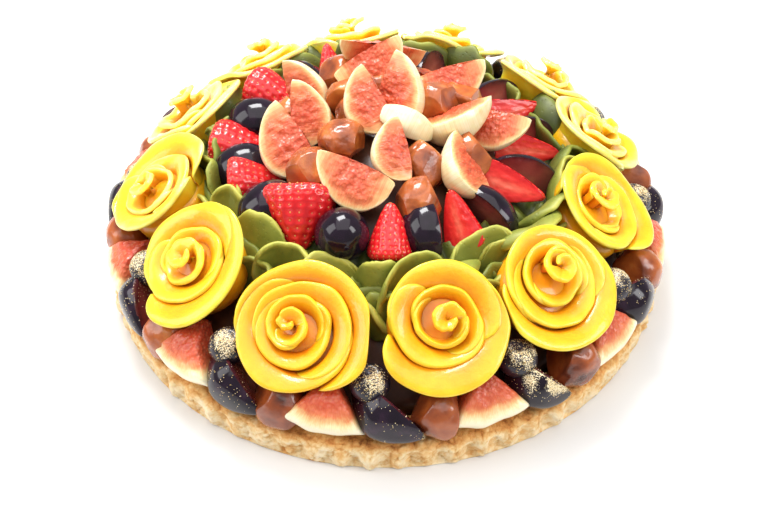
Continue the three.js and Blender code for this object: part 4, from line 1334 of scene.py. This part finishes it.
# How much gold powder lies on each point of a fruit: most on its upper and outer side
def powder(bm, centre, amount, seed):
    depth = bm.verts.layers.float["depth"]
    for vert in bm.verts:
        way = (vert.co - centre).normalized()
        out = Vector((centre.x, centre.y, 0)).normalized()
        facing = way.dot((out * 0.5 + Vector((0, 0, 0.86))).normalized())
        patch = 0.5 * roughly(vert.co, 5.5, seed, 2)
        vert[depth] = amount * smooth((facing - 0.2 + patch) / 0.75)


# Flattens what would sink into the crust's lip or hang out past it
def keep_on_rim(bm):
    floor = CRUST_HEIGHT + 0.2
    for vert in bm.verts:
        if vert.co.z < floor:
            vert.co.z = floor - 0.02 * (floor - vert.co.z)
        reach = math.hypot(vert.co.x, vert.co.y)
        if reach > RIM_REACH - 2:
            kept = RIM_REACH - 2 * math.exp((RIM_REACH - 2 - reach) / 2)
            vert.co.x *= kept / reach
            vert.co.y *= kept / reach


# Flat grains of gold on a fruit, where its powder lies
def add_gold(shape, fruit, count, seed):
    draws = random.Random(seed * 17 + 5)
    depth = fruit.verts.layers.float["depth"]
    fruit.normal_update()
    verts = list(fruit.verts)
    placed = 0
    for _ in range(count * 12):
        vert = verts[draws.randrange(len(verts))]
        if placed == count or draws.random() > vert[depth] * 1.2:
            continue
        placed += 1
        spread = Vector((draws.uniform(-0.7, 0.7), draws.uniform(-0.7, 0.7), draws.uniform(-0.7, 0.7)))
        spread -= vert.normal * spread.dot(vert.normal)
        size = draws.uniform(0.12, 0.3)
        grain = new_shape()
        bmesh.ops.create_cone(grain, cap_ends=True, segments=4, radius1=size, radius2=size * 0.5,
                              depth=size * 0.7)
        turned = (vert.normal + spread * 0.4).to_track_quat("Z", "Y").to_matrix().to_4x4()
        add_part(shape, moved(grain, Matrix.Translation(vert.co + spread) @ turned))


finish_piece("shortcrust_shell", crust_shape(), [SHORTCRUST], "shortcrust", "crust")
finish_piece("custard_dome", filling_shape(), [CUSTARD], "filling", "filling")

for number in range(len(ROSES)):
    finish_piece(f"mango_rose_{number + 1:02d}", rose_shape(number), [MANGO], "mango",
                 f"rose_{number + 1:02d}")

for number, piece in enumerate(CENTRE_FIGS):
    body = moved(fig_shape(piece["skin"], number + 1), set_on_filling(piece))
    finish_piece(f"fig_wedge_{number + 1:02d}", body, [FIG], "fig", f"fig_{number + 1:02d}")

for number, piece in enumerate(RING_FRUIT):
    kind = piece["kind"]
    if kind == "grape":
        shape, name, materials = grape_shape, "black_grape", [GRAPE_SKIN, GRAPE_FLESH]
    else:
        shape, name = strawberry_shape, "ripe_strawberry"
        materials = [BERRY_SKIN, BERRY_FLESH, BERRY_PIPS]
    label = f"{number // 2 + 1:02d}"
    body = moved(shape(piece.get("half", False), number), set_on_filling(piece))
    finish_piece(f"{name}_{label}", body, materials, kind, f"{kind}_{label}")

heaps = []
for number, piece in enumerate(CENTRE_CHESTNUTS):
    body = moved(chestnut_shape(number, 6), set_on_filling(piece))
    if piece.get("joins"):
        add_part(heaps[-1], body)
    else:
        heaps.append(body)
for number, body in enumerate(heaps):
    finish_piece(f"candied_chestnut_{number + 1:02d}", body, [CHESTNUT], "chestnut",
                 f"chestnut_{number + 1:02d}")

back_figs, back_chestnuts = new_shape(), new_shape()
for number, piece in enumerate(BACK_FRUIT):
    if piece["kind"] == "fig":
        body = fig_shape(piece["skin"], number + 70)
        heap = back_figs
    else:
        body = chestnut_shape(number + 80)
        heap = back_chestnuts
    add_part(heap, moved(body, set_on_filling(piece)))
finish_piece("back_fig_wedges", back_figs, [FIG], "back_fruit", "back_fruit")
finish_piece("back_candied_chestnuts", back_chestnuts, [CHESTNUT], "chestnut", "back_fruit")

finish_piece("green_cream_curls", cream_shape(), [CREAM], "pistachio_cream", "cream_frill")

rim = rim_shapes()
RIM_MATERIALS = {
    "fig_wedges": ("fig", [FIG]),
    "black_grapes": ("grape", [GRAPE_SKIN, GRAPE_FLESH]),
    "candied_chestnuts": ("chestnut", [CHESTNUT]),
    "blueberries": ("blueberry", [BLUEBERRY]),
    "gold_grains": ("gold", [GOLD]),
}
for name, (kind, materials) in RIM_MATERIALS.items():
    finish_piece("rim_" + name, rim[kind], materials, "rim_fruit", "rim_fruit")


# Camera at the photograph's angle
CAMERA_ELEVATION = 44.889
CAMERA_DISTANCE = 0.4035
CAMERA_AIM = Vector((-0.00063, -0.03826, 0.030))
LENS = 979.0 * 36 / 768


def set_camera():
    data = bpy.data.cameras.new("studio_camera")
    camera = bpy.data.objects.new("studio_camera", data)
    bpy.context.scene.collection.objects.link(camera)
    data.lens = LENS
    data.sensor_width = 36
    data.clip_start = 0.01
    data.clip_end = 20
    rise = math.radians(CAMERA_ELEVATION)
    back = Vector((0, -math.cos(rise), math.sin(rise)))
    camera.location = CAMERA_AIM + back * CAMERA_DISTANCE
    camera.rotation_mode = "QUATERNION"
    camera.rotation_quaternion = (-back).to_track_quat("-Z", "Y")
    bpy.context.scene.camera = camera


def soft_light(name, place, target, size, power):
    data = bpy.data.lights.new(name, "AREA")
    data.shape = "RECTANGLE"
    data.size, data.size_y = size
    data.energy = power
    lamp = bpy.data.objects.new(name, data)
    bpy.context.scene.collection.objects.link(lamp)
    lamp.location = place
    lamp.rotation_mode = "QUATERNION"
    lamp.rotation_quaternion = (Vector(target) - Vector(place)).to_track_quat("-Z", "Y")


def set_stage():
    bm = bmesh.new()
    bmesh.ops.create_grid(bm, x_segments=1, y_segments=1, size=6.0)
    mesh = bpy.data.meshes.new("studio_table")
    bm.to_mesh(mesh)
    bm.free()
    mesh.materials.append(studio_table())
    table = bpy.data.objects.new("studio_table", mesh)
    bpy.context.scene.collection.objects.link(table)
    world = bpy.data.worlds.new("studio")
    world.use_nodes = True
    light_all_round = world.node_tree.nodes["Background"].inputs
    light_all_round["Color"].default_value = (1, 1, 1, 1)
    light_all_round["Strength"].default_value = 0.45
    bpy.context.scene.world = world
    middle = (0, 0, 0.05)
    soft_light("window_softbox", (-0.12, 0.30, 0.62), middle, (0.34, 0.24), 6.0)
    soft_light("left_softbox", (-0.75, -0.15, 0.55), middle, (0.5, 0.6), 4.0)
    soft_light("right_softbox", (0.7, -0.35, 0.6), middle, (0.3, 0.5), 4.0)
    soft_light("overhead_softbox", (0.0, -0.1, 1.3), middle, (1.6, 1.6), 13.4)
    bpy.context.scene.view_settings.view_transform = "Standard"


set_camera()
set_stage()
